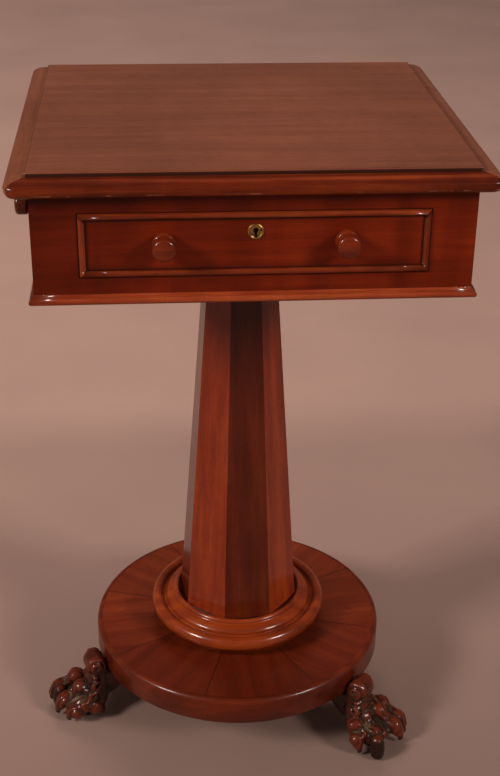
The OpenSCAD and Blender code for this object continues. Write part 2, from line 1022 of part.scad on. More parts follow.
// Upper ring: its crest is beside the column and its outer side falls in a flat curve
module collar_upper() {
    crest = upper_ring_w * 0.2;
    foot_z = upper_ring_h * 0.2;
    rise = upper_ring_h - foot_z;
    color(mahogany_light)
        translate([0, 0, platform_z + lower_ring_h])
            rotate_extrude()
                polygon(concat(
                    [[collar_r, 0], [upper_r, 0]],
                    arc([collar_r + crest, foot_z], upper_ring_w - crest, rise, 0, 90, 10),
                    arc([collar_r + crest, upper_ring_h - crest], crest, crest, 100, 180, 4)
                ));
}

module foot_dowel_places() {
    for (a = feet)
        rotate([0, 0, a])
            for (x = dowel_x)
                translate([x, 0, foot_h - dowel_in_foot])
                    children();
}

module platform_core() {
    color(pine)
        difference() {
            translate([0, 0, foot_h])
                cylinder(r = core_r, h = platform_t - veneer_t);
            translate([0, 0, foot_h - past])
                cylinder(d = tenon_d + 2 * fit, h = platform_t + past);
            foot_dowel_places()
                cylinder(d = dowel_d + 2 * fit, h = dowel_in_foot + dowel_in_platform + fit);
        }
}

// Eight sectors of veneer whose seams meet the column's corners
module platform_veneer() {
    color(mahogany)
        for (i = [0 : 7])
            translate([0, 0, platform_z - veneer_t])
                rotate([0, 0, column_turn + 22.5 + 45 * i + seam_angle / 2])
                    rotate_extrude(angle = 45 - seam_angle)
                        translate([veneer_in_r, 0])
                            square([core_r - veneer_in_r, veneer_t]);
}

module platform_edge_band() {
    round_r = edge_band_t * 0.85;
    color(mahogany_light)
        translate([0, 0, foot_h])
            rotate_extrude()
                polygon(concat(
                    [[core_r, 0], [rim_r, 0]],
                    arc([rim_r - round_r, platform_t - round_r], round_r, round_r, 0, 90, 8),
                    [[core_r, platform_t]]
                ));
}

// Side view of a foot: x out from the column's axis, y up. An arm under the platform, a leg
// that ends in a scroll against the platform's edge, and the middle of the paw.
arm_tip_t = foot_h * 0.12;
arm_root_t = foot_h * 0.52;
function arm_under(s) = [
    rim_r - arm_l * (1 - 1.06 * s),
    foot_h - arm_tip_t - (arm_root_t - arm_tip_t) * pow(s, 0.75)
];
foot_side = concat(
    [for (i = [0 : 6]) arm_under(i / 6)],
    [
        [rim_r + toe_reach * 0.12, paw_h * 0.4], [rim_r + toe_reach * 0.15, 0],
        [rim_r + toe_reach * 0.62, 0], [rim_r + toe_reach * 0.65, paw_h * 0.32]
    ],
    arc([rim_r + toe_reach * 0.26, paw_h * 0.84], toe_reach * 0.28, paw_h * 0.24, -30, 80, 5),
    arc([rim_r + scroll_t / 2, scroll_z], scroll_t / 2, scroll_h / 2, -65, 180, 16),
    [[rim_r - 3, foot_h + 3], [rim_r - 3, foot_h], [rim_r - arm_l, foot_h]]
);

// A toe: the hull of two knuckles and the tip
module toe(back, long, share, lower) {
    tip_z = toe_lift + tip_r;
    x = [for (step = [2.7, 0.7, 0]) toe_x - toe_r * (back + step * long)];
    z = [paw_h - toe_r * (1 + lower), tip_z + toe_r * (0.85 - lower / 3), tip_z];
    hull()
        for (i = [0 : 2])
            translate([x[i], share[i] * outer_y, z[i]])
                sphere(r = i == 2 ? tip_r : toe_r, $fn = toe_fn);
}

// The claw that reaches the floor below the toes
module long_claw() {
    r = claw_d / 2;
    hull() {
        translate([toe_x - toe_r * 0.4, claw_y, r])
            sphere(r = r, $fn = toe_fn);
        translate([toe_x - toe_r * 0.8, claw_y + toe_r * 0.2, r + toe_r * 1.6])
            sphere(r = r, $fn = toe_fn);
    }
}

// Points of an oval about a centre
function oval(centre, a, b) = arc(centre, a, b, 0, 345, 23);

// Solid across the foot whose side view is the given outline
module across_foot(w, outline) {
    rotate([90, 0, 0])
        translate([0, 0, -w / 2])
            linear_extrude(w)
                polygon(outline);
}

// A foot that points to +X, with the given toes
module paw_foot(toes) {
    scroll_x = rim_r + scroll_t / 2;
    palm_x = [for (share = [0.12, 0.37, 0.71]) rim_r + toe_reach * share];
    ridge_w = leg_w - 2;
    ridge_r = scroll_h / 6;
    ridge_x = scroll_x + scroll_t * 0.16;
    ridge_z = scroll_z - scroll_h * 0.58;
    color(carved)
        difference() {
            union() {
                across_foot(leg_w, foot_side);
                across_foot(scroll_w, oval([scroll_x, scroll_z], scroll_t / 2, scroll_h / 2));
                for (i = [0, 1])
                    across_foot(ridge_w, oval(
                        [ridge_x + scroll_t * 0.08 * i, ridge_z - scroll_h * 0.27 * i], ridge_r, ridge_r
                    ));
                for (t = toes)
                    toe(t[0], t[1], t[2], t[3]);
                long_claw();
                linear_extrude(toe_lift + toe_r)
                    polygon([
                        [palm_x[0], -leg_w * 0.42], [palm_x[1], -outer_y * 0.6],
                        [palm_x[2], -outer_y * 0.4], [palm_x[2], outer_y * 0.4],
                        [palm_x[1], outer_y * 0.6], [palm_x[0], leg_w * 0.42]
                    ]);
            }
            translate([0, 0, foot_h])
                cylinder(r = rim_r + rim_fit, h = scroll_h + platform_t, $fn = 96);
            for (x = dowel_x)
                translate([x, 0, foot_h - dowel_in_foot - fit])
                    cylinder(d = dowel_d + 2 * fit, h = dowel_in_foot + past);
        }
}

module foot_left() {
    rotate([0, 0, feet[0]])
        paw_foot(toes_left);
}

module foot_right() {
    rotate([0, 0, feet[1]])
        paw_foot(toes_right);
}

module foot_back() {
    rotate([0, 0, feet[2]])
        paw_foot(toes_left);
}

module foot_dowels() {
    color(oak)
        foot_dowel_places()
            cylinder(d = dowel_d, h = dowel_in_foot + dowel_in_platform);
}

module top_screws() {
    color(steel)
        top_screw_places()
            screw(top_screw_l, screw_d, screw_head_d);
}

module bearer_screws() {
    color(steel)
        bearer_screw_places()
            screw(bearer_screw_l, screw_d, screw_head_d);
}

top_board();
top_moulding_front();
top_moulding_back();
top_moulding_left();
top_moulding_right();
frieze_left();
frieze_right();
frieze_back();
front_stile_left();
front_stile_right();
front_rail_top();
front_rail_bottom();
base_moulding_front();
base_moulding_back();
base_moulding_left();
base_moulding_right();
bottom_board();
column_bearer();
drawer_runner_left();
drawer_runner_right();
drawer_kicker_left();
drawer_kicker_right();
drawer_stops();
corner_blocks();
sham_beads_left();
sham_beads_right();
sham_beads_back();
sham_knobs_left();
sham_knobs_right();
sham_knobs_back();
drawer_front();
drawer_side_left();
drawer_side_right();
drawer_back();
drawer_bottom();
drawer_bead_top();
drawer_bead_bottom();
drawer_bead_left();
drawer_bead_right();
drawer_knob_left();
drawer_knob_right();
escutcheon();
lock_body();
lock_bolt();
lock_screws();
column();
column_wedges();
collar_lower();
collar_upper();
platform_core();
platform_veneer();
platform_edge_band();
foot_left();
foot_right();
foot_back();
foot_dowels();
top_screws();
bearer_screws();
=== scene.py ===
import math

import bpy
import numpy as np
from mathutils import Matrix, Vector


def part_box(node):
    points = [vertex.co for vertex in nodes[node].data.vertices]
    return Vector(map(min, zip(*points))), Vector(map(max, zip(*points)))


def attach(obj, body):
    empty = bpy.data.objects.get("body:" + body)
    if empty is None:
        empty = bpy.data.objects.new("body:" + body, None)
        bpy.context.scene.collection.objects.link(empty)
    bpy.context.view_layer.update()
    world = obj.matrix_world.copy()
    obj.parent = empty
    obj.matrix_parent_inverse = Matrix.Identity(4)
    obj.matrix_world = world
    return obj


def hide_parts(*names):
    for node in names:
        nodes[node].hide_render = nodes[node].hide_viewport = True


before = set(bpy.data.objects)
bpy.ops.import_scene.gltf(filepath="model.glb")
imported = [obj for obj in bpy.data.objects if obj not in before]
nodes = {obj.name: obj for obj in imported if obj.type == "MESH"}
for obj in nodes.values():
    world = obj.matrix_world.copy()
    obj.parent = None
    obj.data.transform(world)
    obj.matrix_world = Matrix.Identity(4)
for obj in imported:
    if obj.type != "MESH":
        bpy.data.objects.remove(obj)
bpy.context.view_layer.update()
print("frame loaded:", len(nodes), "nodes")

mm = 0.001
sector = math.pi / 4  # a side of the column, or a sector of the platform's veneer, seen from the axis


# Shader tools

def rgb(red, green, blue):
    # screen colour 0-255 to the linear value that a shader takes
    v = np.array([red, green, blue]) / 255.0
    linear = np.where(v <= 0.04045, v / 12.92, ((v + 0.055) / 1.055) ** 2.4)
    return (*(float(c) for c in linear), 1.0)


class Signal:
    # one shader value; arithmetic on it adds Math nodes to its tree
    def __init__(self, paint, socket):
        self.paint, self.socket = paint, socket

    def __add__(self, other):
        return self.paint.maths("ADD", self, other)

    def __sub__(self, other):
        return self.paint.maths("SUBTRACT", self, other)

    def __rsub__(self, other):
        return self.paint.maths("SUBTRACT", other, self)

    def __mul__(self, other):
        return self.paint.maths("MULTIPLY", self, other)

    def __truediv__(self, other):
        return self.paint.maths("DIVIDE", self, other)

    def __abs__(self):
        return self.paint.maths("ABSOLUTE", self)

    __radd__, __rmul__ = __add__, __mul__

    def step(self, low, high):
        # 0 below low, 1 above high, a smooth step between
        return self.paint.node("MapRange", {"interpolation_type": "SMOOTHSTEP"},
                               {"Value": self, "From Min": low, "From Max": high})


class Paint:
    # a node tree and the one way in which nodes are added to it
    def __init__(self, tree):
        self.tree = tree

    def node(self, kind, settings=None, sockets=None, output=0):
        node = self.tree.nodes.new("ShaderNode" + kind)
        for key, value in (settings or {}).items():
            if key == "stops":
                ramp = node.color_ramp
                while len(ramp.elements) < len(value):
                    ramp.elements.new(1.0)
                for element, (place, colour) in zip(ramp.elements, value):
                    element.position, element.color = place, colour
            else:
                setattr(node, key, value)
        for key, value in (sockets or {}).items():
            self.feed(node.inputs[key], value)
        return Signal(self, node.outputs[output])

    def feed(self, socket, value):
        if isinstance(value, Signal):
            self.tree.links.new(value.socket, socket)
        else:
            socket.default_value = value

    def maths(self, operation, *values):
        return self.node("Math", {"operation": operation}, dict(enumerate(values)))

    def split(self, vector):
        # a vector's three parts
        first = self.node("SeparateXYZ", None, {"Vector": vector})
        return [Signal(self, socket) for socket in first.socket.node.outputs]

    def blend(self, amount, below, above, mode="MIX"):
        # colour mix: amount 0 gives the first colour, 1 the second; sockets 0, 6 and 7 of the node
        # are the factor and the two colours, and output 2 is the mixed one
        return self.node("Mix", {"data_type": "RGBA", "blend_type": mode},
                         {0: amount, 6: below, 7: above}, output=2)


class Finish(Paint):
    # a material's surface
    def __init__(self, name):
        self.material = bpy.data.materials.new(name)
        self.material.use_nodes = True
        super().__init__(self.material.node_tree)
        self.surface = self.tree.nodes["Principled BSDF"]

    def finish(self, **sockets):
        for key, value in sockets.items():
            self.feed(self.surface.inputs[key], value)
        return self.material


# Turn that lays a pattern's long axis, local X, along a given axis of the table
grainTurn = {"X": (0, 0, 0), "Y": (0, 0, math.pi / 2), "Z": (0, math.pi / 2, 0)}

woodDefaults = {
    "tones": ((58, 16, 7), (102, 36, 16), (140, 62, 30)),  # dark, middle and light
    "bands": 26.0,        # growth bands per metre across the grain
    "stretch": 0.07,      # how much slower the pattern changes along the grain
    "wander": 0.9,        # how far the bands stray
    "banding": 0.22, "streaks": 0.40, "clouds": 0.5,
    "figure": 0.15,       # strength of the flames across the grain
    "figureSize": 9.0,
    "pores": 0.45,        # darkness of the open pores
    "gloss": 0.33, "shine": 0.15, "coat": 0.4, "coatGloss": 0.12,
    "relief": 0.12,
    "place": (0.0, 0.0, 0.0),
}

# Where painted shade, painted highlight and seams begin and end, in metres from the line that each of
# them follows
marks = {
    "beadShade": (-0.0018, -0.0004, 0.0062, 0.0095), "stepShade": (0.0004, 0.0014),
    "stepEnds": (-0.003, -0.001), "paintedGlint": (0.0002, 0.0011), "ledgeShade": (-0.0008, 0.0004),
    "seam": (0.0001, 0.0009),
}
porePolishAndShade = rgb(30, 9, 5)


def wood(name, grain="X", radial=None, cavity=False, facets=None, panel=None, step=None, paintedGlint=None,
         endShade=None, within=None, **changes):
    # bands: sine of the distance across the grain, bent by slow noise; pores, streaks and fibres are
    # noise stretched along the grain; flames are a slow noise across it. The tone is 0.5 plus each
    # pattern's distance from its middle times its strength, and picks the colour from dark to light
    look = {**woodDefaults, **changes}
    paint = Finish(name)
    spot = paint.node("TexCoord", output="Object")
    x, y, z = paint.split(spot)
    around = paint.maths("ARCTAN2", y, x)
    fromAxis = paint.maths("SQRT", x * x + y * y)
    if radial:
        # unroll the disc: along is the radius, across is the angle from the middle of its sector
        index = paint.maths("FLOOR", (around - radial) / sector)
        angleAcross = around - radial - (index + 0.5) * sector
        spot = paint.node("CombineXYZ", None,
                          {0: fromAxis, 1: angleAcross * fromAxis, 2: z + index * 0.11})
    along = paint.node("Mapping", {"vector_type": "TEXTURE"},
                       {"Vector": spot, "Location": look["place"], "Rotation": grainTurn[grain]})

    def noise(scale, detail, rough=0.5, bent=0.0):
        # noise on the grain's own axes, scaled along it and across it
        scaled = paint.node("Mapping", {"vector_type": "POINT"}, {"Vector": along, "Scale": scale})
        return paint.node("TexNoise", None, {"Vector": scaled, "Scale": 1.0, "Detail": detail,
                                             "Roughness": rough, "Distortion": bent})

    bend = noise((9.0 * look["stretch"], 9.0, 9.0), 3.0, 0.55)
    _, acrossY, acrossZ = paint.split(along)
    wave = ((acrossY + acrossZ * 0.6) * look["bands"] * 2 * math.pi
            + (bend - 0.5) * look["wander"] * 20)
    bands = paint.maths("SINE", wave) * 0.5 + 0.5
    streaks = noise((6.2, 133.0, 133.0), 4.0, 0.6).step(0.25, 0.75)
    fibres = noise((33.0, 1430.0, 1430.0), 2.0)
    pores = noise((83.0, 1820.0, 1820.0), 1.0).step(0.60, 0.72)
    clouds = noise((5.5, 5.5, 5.5), 2.0)
    flames = noise((look["figureSize"] * 2.6, look["figureSize"], 3.0), 2.0, bent=0.8)
    tone = (0.5 + (bands - 0.5) * look["banding"] + (streaks - 0.5) * look["streaks"]
            + (clouds - 0.5) * look["clouds"] + (flames - 0.5) * look["figure"] * 2
            + (fibres - 0.5) * 0.22)
    stops = [(place, rgb(*colour)) for place, colour in zip((0.05, 0.5, 0.95), look["tones"])]
    colour = paint.node("ValToRGB", {"stops": stops}, {"Fac": tone})
    colour = paint.blend(pores * look["pores"], colour, porePolishAndShade)
    if panel:
        # painted shade beside a bead: the distance inwards from a rectangle round the middle of a side
        halfWide, middleUp, halfHigh = panel
        start, full, thinning, end = marks["beadShade"]
        inward = paint.maths("MINIMUM", halfWide - abs(x if grain == "X" else y),
                             halfHigh - abs(z - middleUp))
        beadShadeMask = inward.step(start, full) * (1 - inward.step(thinning, end))
        colour = paint.blend(beadShadeMask * 0.8, colour, porePolishAndShade)
    if step:
        # painted shade on the side of a raised field, less of it at its left and right ends
        top, side = step
        ends = abs(x).step(*(side + distance for distance in marks["stepEnds"]))
        dark = (top - z).step(*marks["stepShade"]) * (0.9 - ends * 0.6)
        colour = paint.blend(dark, colour, rgb(34, 10, 5))
    if paintedGlint:
        # a broken painted highlight: a pale line along the nose
        line = 1 - abs(z - paintedGlint).step(*marks["paintedGlint"])
        broken = noise((40.0, 90.0, 9.0), 3.0, 0.7).step(0.52, 0.66)
        colour = paint.blend(line * broken * 0.45, colour, rgb(190, 130, 96))
    if within:
        # painted shade on the ledge inside a ring, beside the column: the distance from the axis is less
        # than a radius
        ledge = 1 - fromAxis.step(*(within + distance for distance in marks["ledgeShade"]))
        colour = paint.blend(ledge * 0.85, colour, rgb(36, 18, 10))
    if endShade:
        # painted shade, darker towards one end: fully below the first place on its axis, not at all
        # above the other
        axis, full, none, tint = endShade
        shade = 1 - (x if axis == "X" else y).step(full, none)
        colour = paint.blend(shade, colour, paint.blend(1.0, colour, tint, "MULTIPLY"))
    gloss = look["gloss"] + pores * 0.2 + (clouds - 0.5) * 0.12
    coat = look["coat"]
    height = fibres * 0.3 - pores
    if facets:
        # the veneers of a column's sides are light and dark by turns
        index = paint.maths("FLOOR", (around - facets) / sector)
        odd = paint.maths("MODULO", index + 9, 2.0)
        colour = paint.blend(odd, paint.blend(1.0, colour, (0.36, 0.34, 0.36, 1.0), "MULTIPLY"), colour)
    if radial:
        # a dark line between two sectors of the disc
        seam = ((sector / 2 - abs(angleAcross)) * fromAxis).step(*marks["seam"])
        colour = paint.blend(seam, rgb(40, 13, 8), colour)
        height = height + seam * 3.0
    if cavity:
        # hollows hold dark wax and painted shade, and pale dust at their edges; crests are lighter,
        # partly worn and partly a painted highlight; claws are dark
        hollow, crest, horn = (paint.node("Attribute", {"attribute_name": label}, output=2)
                               for label in ("hollow", "crest", "horn"))
        dirt = noise((70.0, 70.0, 70.0), 3.0)
        deep = (hollow + (dirt - 0.5) * 0.3).step(0.04, 0.42)
        patches = noise((45.0, 45.0, 45.0), 2.0).step(0.44, 0.68)
        dust = hollow.step(0.08, 0.4) * (1 - hollow.step(0.6, 1.0)) * patches
        # dark wax and painted shade deep in the hollows
        colour = paint.blend(deep * 0.9, colour, rgb(30, 19, 12))
        colour = paint.blend(dust * 0.62, colour, rgb(104, 84, 56))
        # wear and a painted highlight on the crests
        colour = paint.blend(crest.step(0.35, 1.0) * 0.45, colour, rgb(110, 42, 18))
        colour = paint.blend(horn * 0.92, colour, rgb(26, 15, 9))
        dull = hollow.step(0.05, 0.4)
        gloss = gloss + dull * 0.35
        coat = (1 - dull) * (1 - horn * 0.6) * coat
        height = height + (dirt - 0.5) * 1.5
    bump = paint.node("Bump", None, {"Height": height, "Strength": look["relief"], "Distance": 0.0003})
    return paint.finish(**{"Base Color": colour, "Roughness": gloss, "Normal": bump, "Coat Weight": coat,
                           "Coat Roughness": look["coatGloss"], "Specular IOR Level": look["shine"]})


def metal(name, bright, dark, gloss):
    # tarnish: a coarse noise darkens and dulls the bare metal; a fine one scratches it
    paint = Finish(name)
    spot = paint.node("TexCoord", output="Object")
    tarnish = paint.node("TexNoise", None, {"Vector": spot, "Scale": 240.0, "Detail": 4.0})
    scratch = paint.node("TexNoise", None, {"Vector": spot, "Scale": 1800.0, "Detail": 2.0})
    colour = paint.blend(tarnish.step(0.42, 0.66), bright, dark)
    bump = paint.node("Bump", None, {"Height": scratch + tarnish, "Strength": 0.15, "Distance": 0.0002})
    return paint.finish(**{"Base Color": colour, "Metallic": 1.0, "Normal": bump,
                           "Roughness": gloss + tarnish.step(0.4, 0.7) * 0.25})


# Surface tools

def ringFaces(rows, cols, loop=False):
    # quads between neighbours of a rows by cols grid of points, where each row is a closed outline;
    # the first and the last outline are filled, or joined to each other by loop
    i = np.arange(rows if loop else rows - 1)[:, None]
    j = np.arange(cols)[None, :]
    down, right = (i + 1) % rows, (j + 1) % cols
    corners = [i * cols + j, i * cols + right, down * cols + right, down * cols + j]
    faces = np.stack(corners, -1).reshape(-1, 4).tolist()
    if not loop:
        faces += [list(range(cols)), list(range(rows * cols - 1, (rows - 1) * cols - 1, -1))]
    return faces


def signedVolume(points, faces):
    # sum of the tetrahedra from the origin to each face's fan of triangles
    total = 0.0
    for face in faces:
        p = points[face]
        first = np.broadcast_to(p[0], p[1:-1].shape)
        total += float(np.einsum("ij,ij->", np.cross(p[1:-1], p[2:]), first))
    return total / 6


def addObject(name, data):
    # an object in the scene
    made = bpy.data.objects.new(name, data)
    bpy.context.scene.collection.objects.link(made)
    return made


def addMesh(name, points, faces, material, flatten=True):
    # points in metres; flatten keeps broad faces flat to the eye between rounded edges
    if signedVolume(points, faces) < 0:
        faces = [f[::-1] for f in faces]
    mesh = bpy.data.meshes.new(name)
    mesh.from_pydata(points.tolist(), [], faces)
    mesh.polygons.foreach_set("use_smooth", np.ones(len(mesh.polygons), bool))
    mesh.materials.append(material)
    mesh.update()
    piece = addObject(name, mesh)
    if flatten:
        weights = piece.modifiers.new("evenShading", "WEIGHTED_NORMAL")
        weights.weight = 100
    return piece


def stack(name, rings, material, loop=False, flatten=True):
    # rings in millimetres: rows x cols x 3, one closed outline per row
    faces = ringFaces(*rings.shape[:2], loop)
    return addMesh(name, rings.reshape(-1, 3) * mm, faces, material, flatten)


def arc(cx, cy, a, b, start, end, steps):
    # points of an ellipse round (cx, cy) with half axes a and b, angles in degrees
    t = np.radians(np.linspace(start, end, steps))
    return np.stack([cx + a * np.cos(t), cy + b * np.sin(t)], -1)


def roundedRect(halfW, halfH, r):
    # four quarter circles of radius r joined by straight sides
    corners = [(halfW - r, halfH - r, 0), (-halfW + r, halfH - r, 90),
               (-halfW + r, -halfH + r, 180), (halfW - r, -halfH + r, 270)]
    return np.concatenate([arc(cx, cy, r, r, a, a + 90, 5) for cx, cy, a in corners])


def board(name, low, high, material, edge, corner):
    # rounded outlines stacked upwards, drawn in at the bottom and at the top along quarter circles of
    # radius `edge`; the upright corners are rounded to corner + edge
    half, middle = (high - low) / 2, (high + low) / 2
    t = np.radians(np.linspace(0, 90, 5))
    insets = np.concatenate([edge * (1 - np.sin(t)), edge * (1 - np.cos(t))])
    heights = np.concatenate([low[2] + edge * (1 - np.cos(t)), high[2] - edge * (1 - np.sin(t))])
    rings = []
    for inset, height in zip(insets, heights):
        outline = roundedRect(half[0] - inset, half[1] - inset, corner + edge - inset) + middle[:2]
        rings.append(np.column_stack([outline, np.full(len(outline), height)]))
    return stack(name, np.array(rings), material)


def turned(name, profile, material, cols, place=None, loop=False):
    # surface of revolution: the (radius, height) profile turned about the height axis
    t = np.linspace(0, 2 * np.pi, cols, endpoint=False)
    rings = np.stack([profile[:, :1] * np.cos(t), profile[:, :1] * np.sin(t),
                      np.repeat(profile[:, 1:], cols, 1)], -1)
    return stack(name, place(rings) if place else rings, material, loop, flatten=False)


def swung(points, c, s):
    # rotates points about the vertical axis by the angle whose cosine and sine are c and s
    return points @ np.array([[c, s, 0], [-s, c, 0], [0, 0, 1]], float)


def quarterTurns(points, turns):
    # the same for 0, 1, 2 or 3 quarter turns
    return swung(points, *[(1, 0), (0, 1), (-1, 0), (0, -1)][turns])


def mitredStrip(name, profile, length, material, place, outward=1, corner=0.0):
    # the (out, up) profile carried along X and cut at 45 degrees: a point that stands `out` from the
    # mitre's start reaches length/2 + out, and past the corner's radius it follows a 45 degree arc
    out, up = profile[:, :1], profile[:, 1:]
    inner = np.minimum(out, out.max() - corner) if corner else out
    half = length / 2 + outward * inner
    t = np.linspace(-1, 1, 12)[None, :]
    if corner:
        # the straight part gives way to the arc over `ease`
        rest, ease = out - inner, 1.2
        a = np.radians(np.linspace(0, 45, 9))[None, :]
        xEnd = half - ease * (1 - a / a.max()) + rest * np.sin(a)
        yEnd = -(inner + rest * np.cos(a))
        t = t[:, 1:-1]
        x = np.concatenate([-xEnd[:, ::-1], (half - ease) * t, xEnd], 1)
        y = np.concatenate([yEnd[:, ::-1], -np.repeat(out, t.size, 1), yEnd], 1)
    else:
        x, y = half * t, -outward * np.repeat(out, t.size, 1)
    points = np.stack([x, y, np.repeat(up, x.shape[1], 1)], -1).transpose(1, 0, 2)
    return stack(name, place(points), material)


def mitredFrame(name, parts, section, half, woods, place, outward=1, corner=0.0, gap=0.0):
    # four mitred strips round a rectangle of half sizes `half`, each short by `gap` at its ends;
    # woods are for the strips along and across, and place lays the frame where it belongs
    strips = []
    for turns, part in enumerate(parts):
        run, away = half[::-1] if turns % 2 else half

        def lay(p, turns=turns, away=away):
            return place(quarterTurns(p + [0, -away, 0], turns))

        strips.append(mitredStrip(f"{name}_{part}", section, 2 * (run - gap), woods[turns % 2], lay,
                                  outward, corner))
    return strips


# The table's main sizes in millimetres, read from the frame

def nodeBox(name):
    # lowest and highest corner of a CAD node
    low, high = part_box(name)
    return np.array(low) / mm, np.array(high) / mm


sides = ["front", "right", "back", "left"]
fieldLow, fieldHigh = nodeBox("top_board")
friezeLow = nodeBox("front_stile_left")[0]
friezeHalf = nodeBox("frieze_right")[1][:2]
drawerLow, drawerHigh = nodeBox("drawer_front")
veneerTop = nodeBox("platform_veneer")[1][2]
rimLow, rimHigh = nodeBox("platform_edge_band")
platformR = rimHigh[0]

# Where the beads lie, in metres, for the painted shade beside them: half their width, their middle's
# height and half their height. The painted highlight runs a little above the underside of the top's edge
beadLow, beadHigh = nodeBox("drawer_bead_left")
beadUp = (beadLow[2] + beadHigh[2]) / 2 * mm, (beadHigh[2] - beadLow[2]) / 2 * mm
frontPanel = (nodeBox("drawer_bead_right")[1][0] * mm, *beadUp)
sidePanel = (nodeBox("sham_beads_left")[1][1] * mm, *beadUp)
glintHeight = (fieldLow[2] + 3.2) * mm


# Woods and metals

# painted sheen: the top's tones are paler and pinker than the frieze's; step paints shade on the raised
# field's side
mahoganyTop = wood("mahoganyTop", step=(fieldHigh[2] * mm, fieldHigh[0] * mm),
                   tones=((84, 42, 30), (116, 63, 43), (141, 84, 59)), gloss=0.4, coat=0.35,
                   coatGloss=0.3, figure=0.1, streaks=0.13, banding=0.08, place=(0.3, 0.05, 0.0))
frontLook = {"tones": ((63, 13, 2), (95, 24, 3), (127, 39, 8)), "streaks": 0.26, "banding": 0.14,
             "coat": 0.1, "coatGloss": 0.25}
# painted shade: panel darkens the wood beside the beads, here and on the sides; endShade darkens the
# front towards its left end
mahoganyFront = wood("mahoganyFront", figure=0.32, place=(0.1, 0.0, 0.13), panel=frontPanel,
                     endShade=("X", -0.22, -0.06, (0.52, 0.46, 0.45, 1.0)), **frontLook)
mahoganySide = wood("mahoganySide", "Y", figure=0.3, place=(0.4, 0.2, 0.0), panel=sidePanel, **frontLook)
edgeAlongX = wood("edgeAlongX", tones=((52, 12, 4), (88, 27, 6), (136, 53, 17)), bands=60.0, coat=0.28,
                  place=(0.0, 0.3, 0.1), paintedGlint=glintHeight)
# painted sheen: the edges along Y take paler, pinker tones than those along X
edgeAlongY = wood("edgeAlongY", "Y", tones=((88, 42, 25), (117, 60, 36), (146, 84, 54)), bands=60.0,
                  streaks=0.2, banding=0.1, place=(0.2, 0.1, 0.3), paintedGlint=glintHeight)
beadWood = {"tones": ((62, 18, 6), (106, 38, 13), (156, 70, 28)), "bands": 60.0}
beadAlongX = wood("beadAlongX", place=(0.0, 0.3, 0.1), **beadWood)
beadUpright = wood("beadUpright", "Z", **beadWood)
# painted highlight: the base moulding's tones are brighter than those of the beads and the top's edges
baseWood = {"tones": ((71, 20, 7), (119, 41, 16), (162, 74, 36)), "coat": 0.6}
baseAlongX = wood("baseAlongX", place=(0.3, 0.1, 0.1), **baseWood)
baseAlongY = wood("baseAlongY", "Y", place=(0.1, 0.4, 0.3), **baseWood)
rimWood = wood("rimWood", tones=((52, 16, 6), (88, 28, 9), (118, 44, 16)), gloss=0.36, coat=0.3,
               streaks=0.25, place=(0.35, 0.1, 0.2))
knobWood = wood("knobWood", tones=((64, 19, 7), (104, 34, 12), (140, 56, 22)), gloss=0.3,
                coatGloss=0.05, place=(0.5, 0.3, 0.2))
# painted shade: the sham knobs take a darker copy of the knobs' wood
shadedShamKnobWood = wood("shadedShamKnobWood", tones=((52, 18, 9), (84, 32, 15), (112, 50, 25)), gloss=0.3,
                    coatGloss=0.08, place=(0.1, 0.4, 0.3))
carvedWood = wood("carvedWood", cavity=True, tones=((33, 12, 6), (57, 20, 10), (82, 32, 16)),
                  gloss=0.32, coat=0.45, coatGloss=0.13, relief=0.3)
pineWood = wood("pineWood", "Y", tones=((120, 84, 48), (160, 120, 74), (190, 152, 102)), gloss=0.65,
                coat=0.0, pores=0.15, bands=90.0)
oakLook = {"tones": ((104, 70, 40), (148, 108, 66), (180, 142, 94)), "gloss": 0.6, "coat": 0.0,
           "pores": 0.6, "bands": 120.0}
oakWood = wood("oakWood", "Y", **oakLook)
oakAcross = wood("oakAcross", **oakLook)
brass = metal("brass", rgb(196, 158, 84), rgb(104, 76, 34), 0.28)
steel = metal("steel", rgb(150, 148, 142), rgb(86, 78, 68), 0.4)

# The CAD nodes that stay, by the wood or metal that each is given
nodeFinishes = [
    (pineWood, ["bottom_board", "column_bearer", "drawer_runner_left", "drawer_runner_right",
                "drawer_kicker_left", "drawer_kicker_right", "drawer_stops", "corner_blocks",
                "platform_core"]),
    (oakWood, ["drawer_side_left", "drawer_side_right", "column_wedges", "foot_dowels"]),
    (oakAcross, ["drawer_back", "drawer_bottom"]),
    (brass, ["lock_body", "escutcheon"]),
    (steel, ["lock_bolt", "lock_screws", "top_screws", "bearer_screws"]),
    (mahoganySide, ["frieze_left", "frieze_right"]),
    (mahoganyFront, ["frieze_back", "front_rail_top", "front_rail_bottom", "front_stile_left",
                     "front_stile_right", "drawer_front"]),
]
for material, names in nodeFinishes:
    for name in names:
        nodes[name].data.materials.clear()
        nodes[name].data.materials.append(material)
print("materials made")


# Table top

topLook = {"arris": 1.4, "corner": 1.0, "edgeWidth": 18.25, "edgeHeight": 16.0, "nose": 9.0,
           "edgeCorner": 12.0, "quirk": 0.5, "lipWidth": 1.2, "lipHeight": 1.1}

field = board("topField", fieldLow, fieldHigh, mahoganyTop, topLook["arris"], topLook["corner"])
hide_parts("top_board")
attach(field, "table")

# edge section: a small quarter ellipse under the nose, a broad one above it, then a quirk
width, height, nose = topLook["edgeWidth"], topLook["edgeHeight"], topLook["nose"]
edgeSection = np.concatenate([
    [[0.0, 0.0]],
    arc(width * 2 / 3, nose, width / 3, nose, -90, 0, 10),
    arc(0, nose, width, height - nose - topLook["quirk"], 0, 82, 18)[1:],
    arc(topLook["lipWidth"], height - topLook["lipHeight"], topLook["lipWidth"], topLook["lipHeight"],
        10, 150, 8),
    [[0.0, height - topLook["quirk"]]],
])
fieldHalf = (fieldHigh - fieldLow)[:2] / 2
topEdge = mitredFrame("topEdge", sides, edgeSection, fieldHalf, (edgeAlongX, edgeAlongY),
                      lambda p: p + [0, 0, fieldLow[2]], corner=topLook["edgeCorner"])
for strip, side in zip(topEdge, sides):
    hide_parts("top_moulding_" + side)
    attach(strip, "table")
print("top made")


# Moulding under the frieze

baseLook = {"height": 10.0, "proud": 5.0, "bead": 3.5, "inner": 20.0}

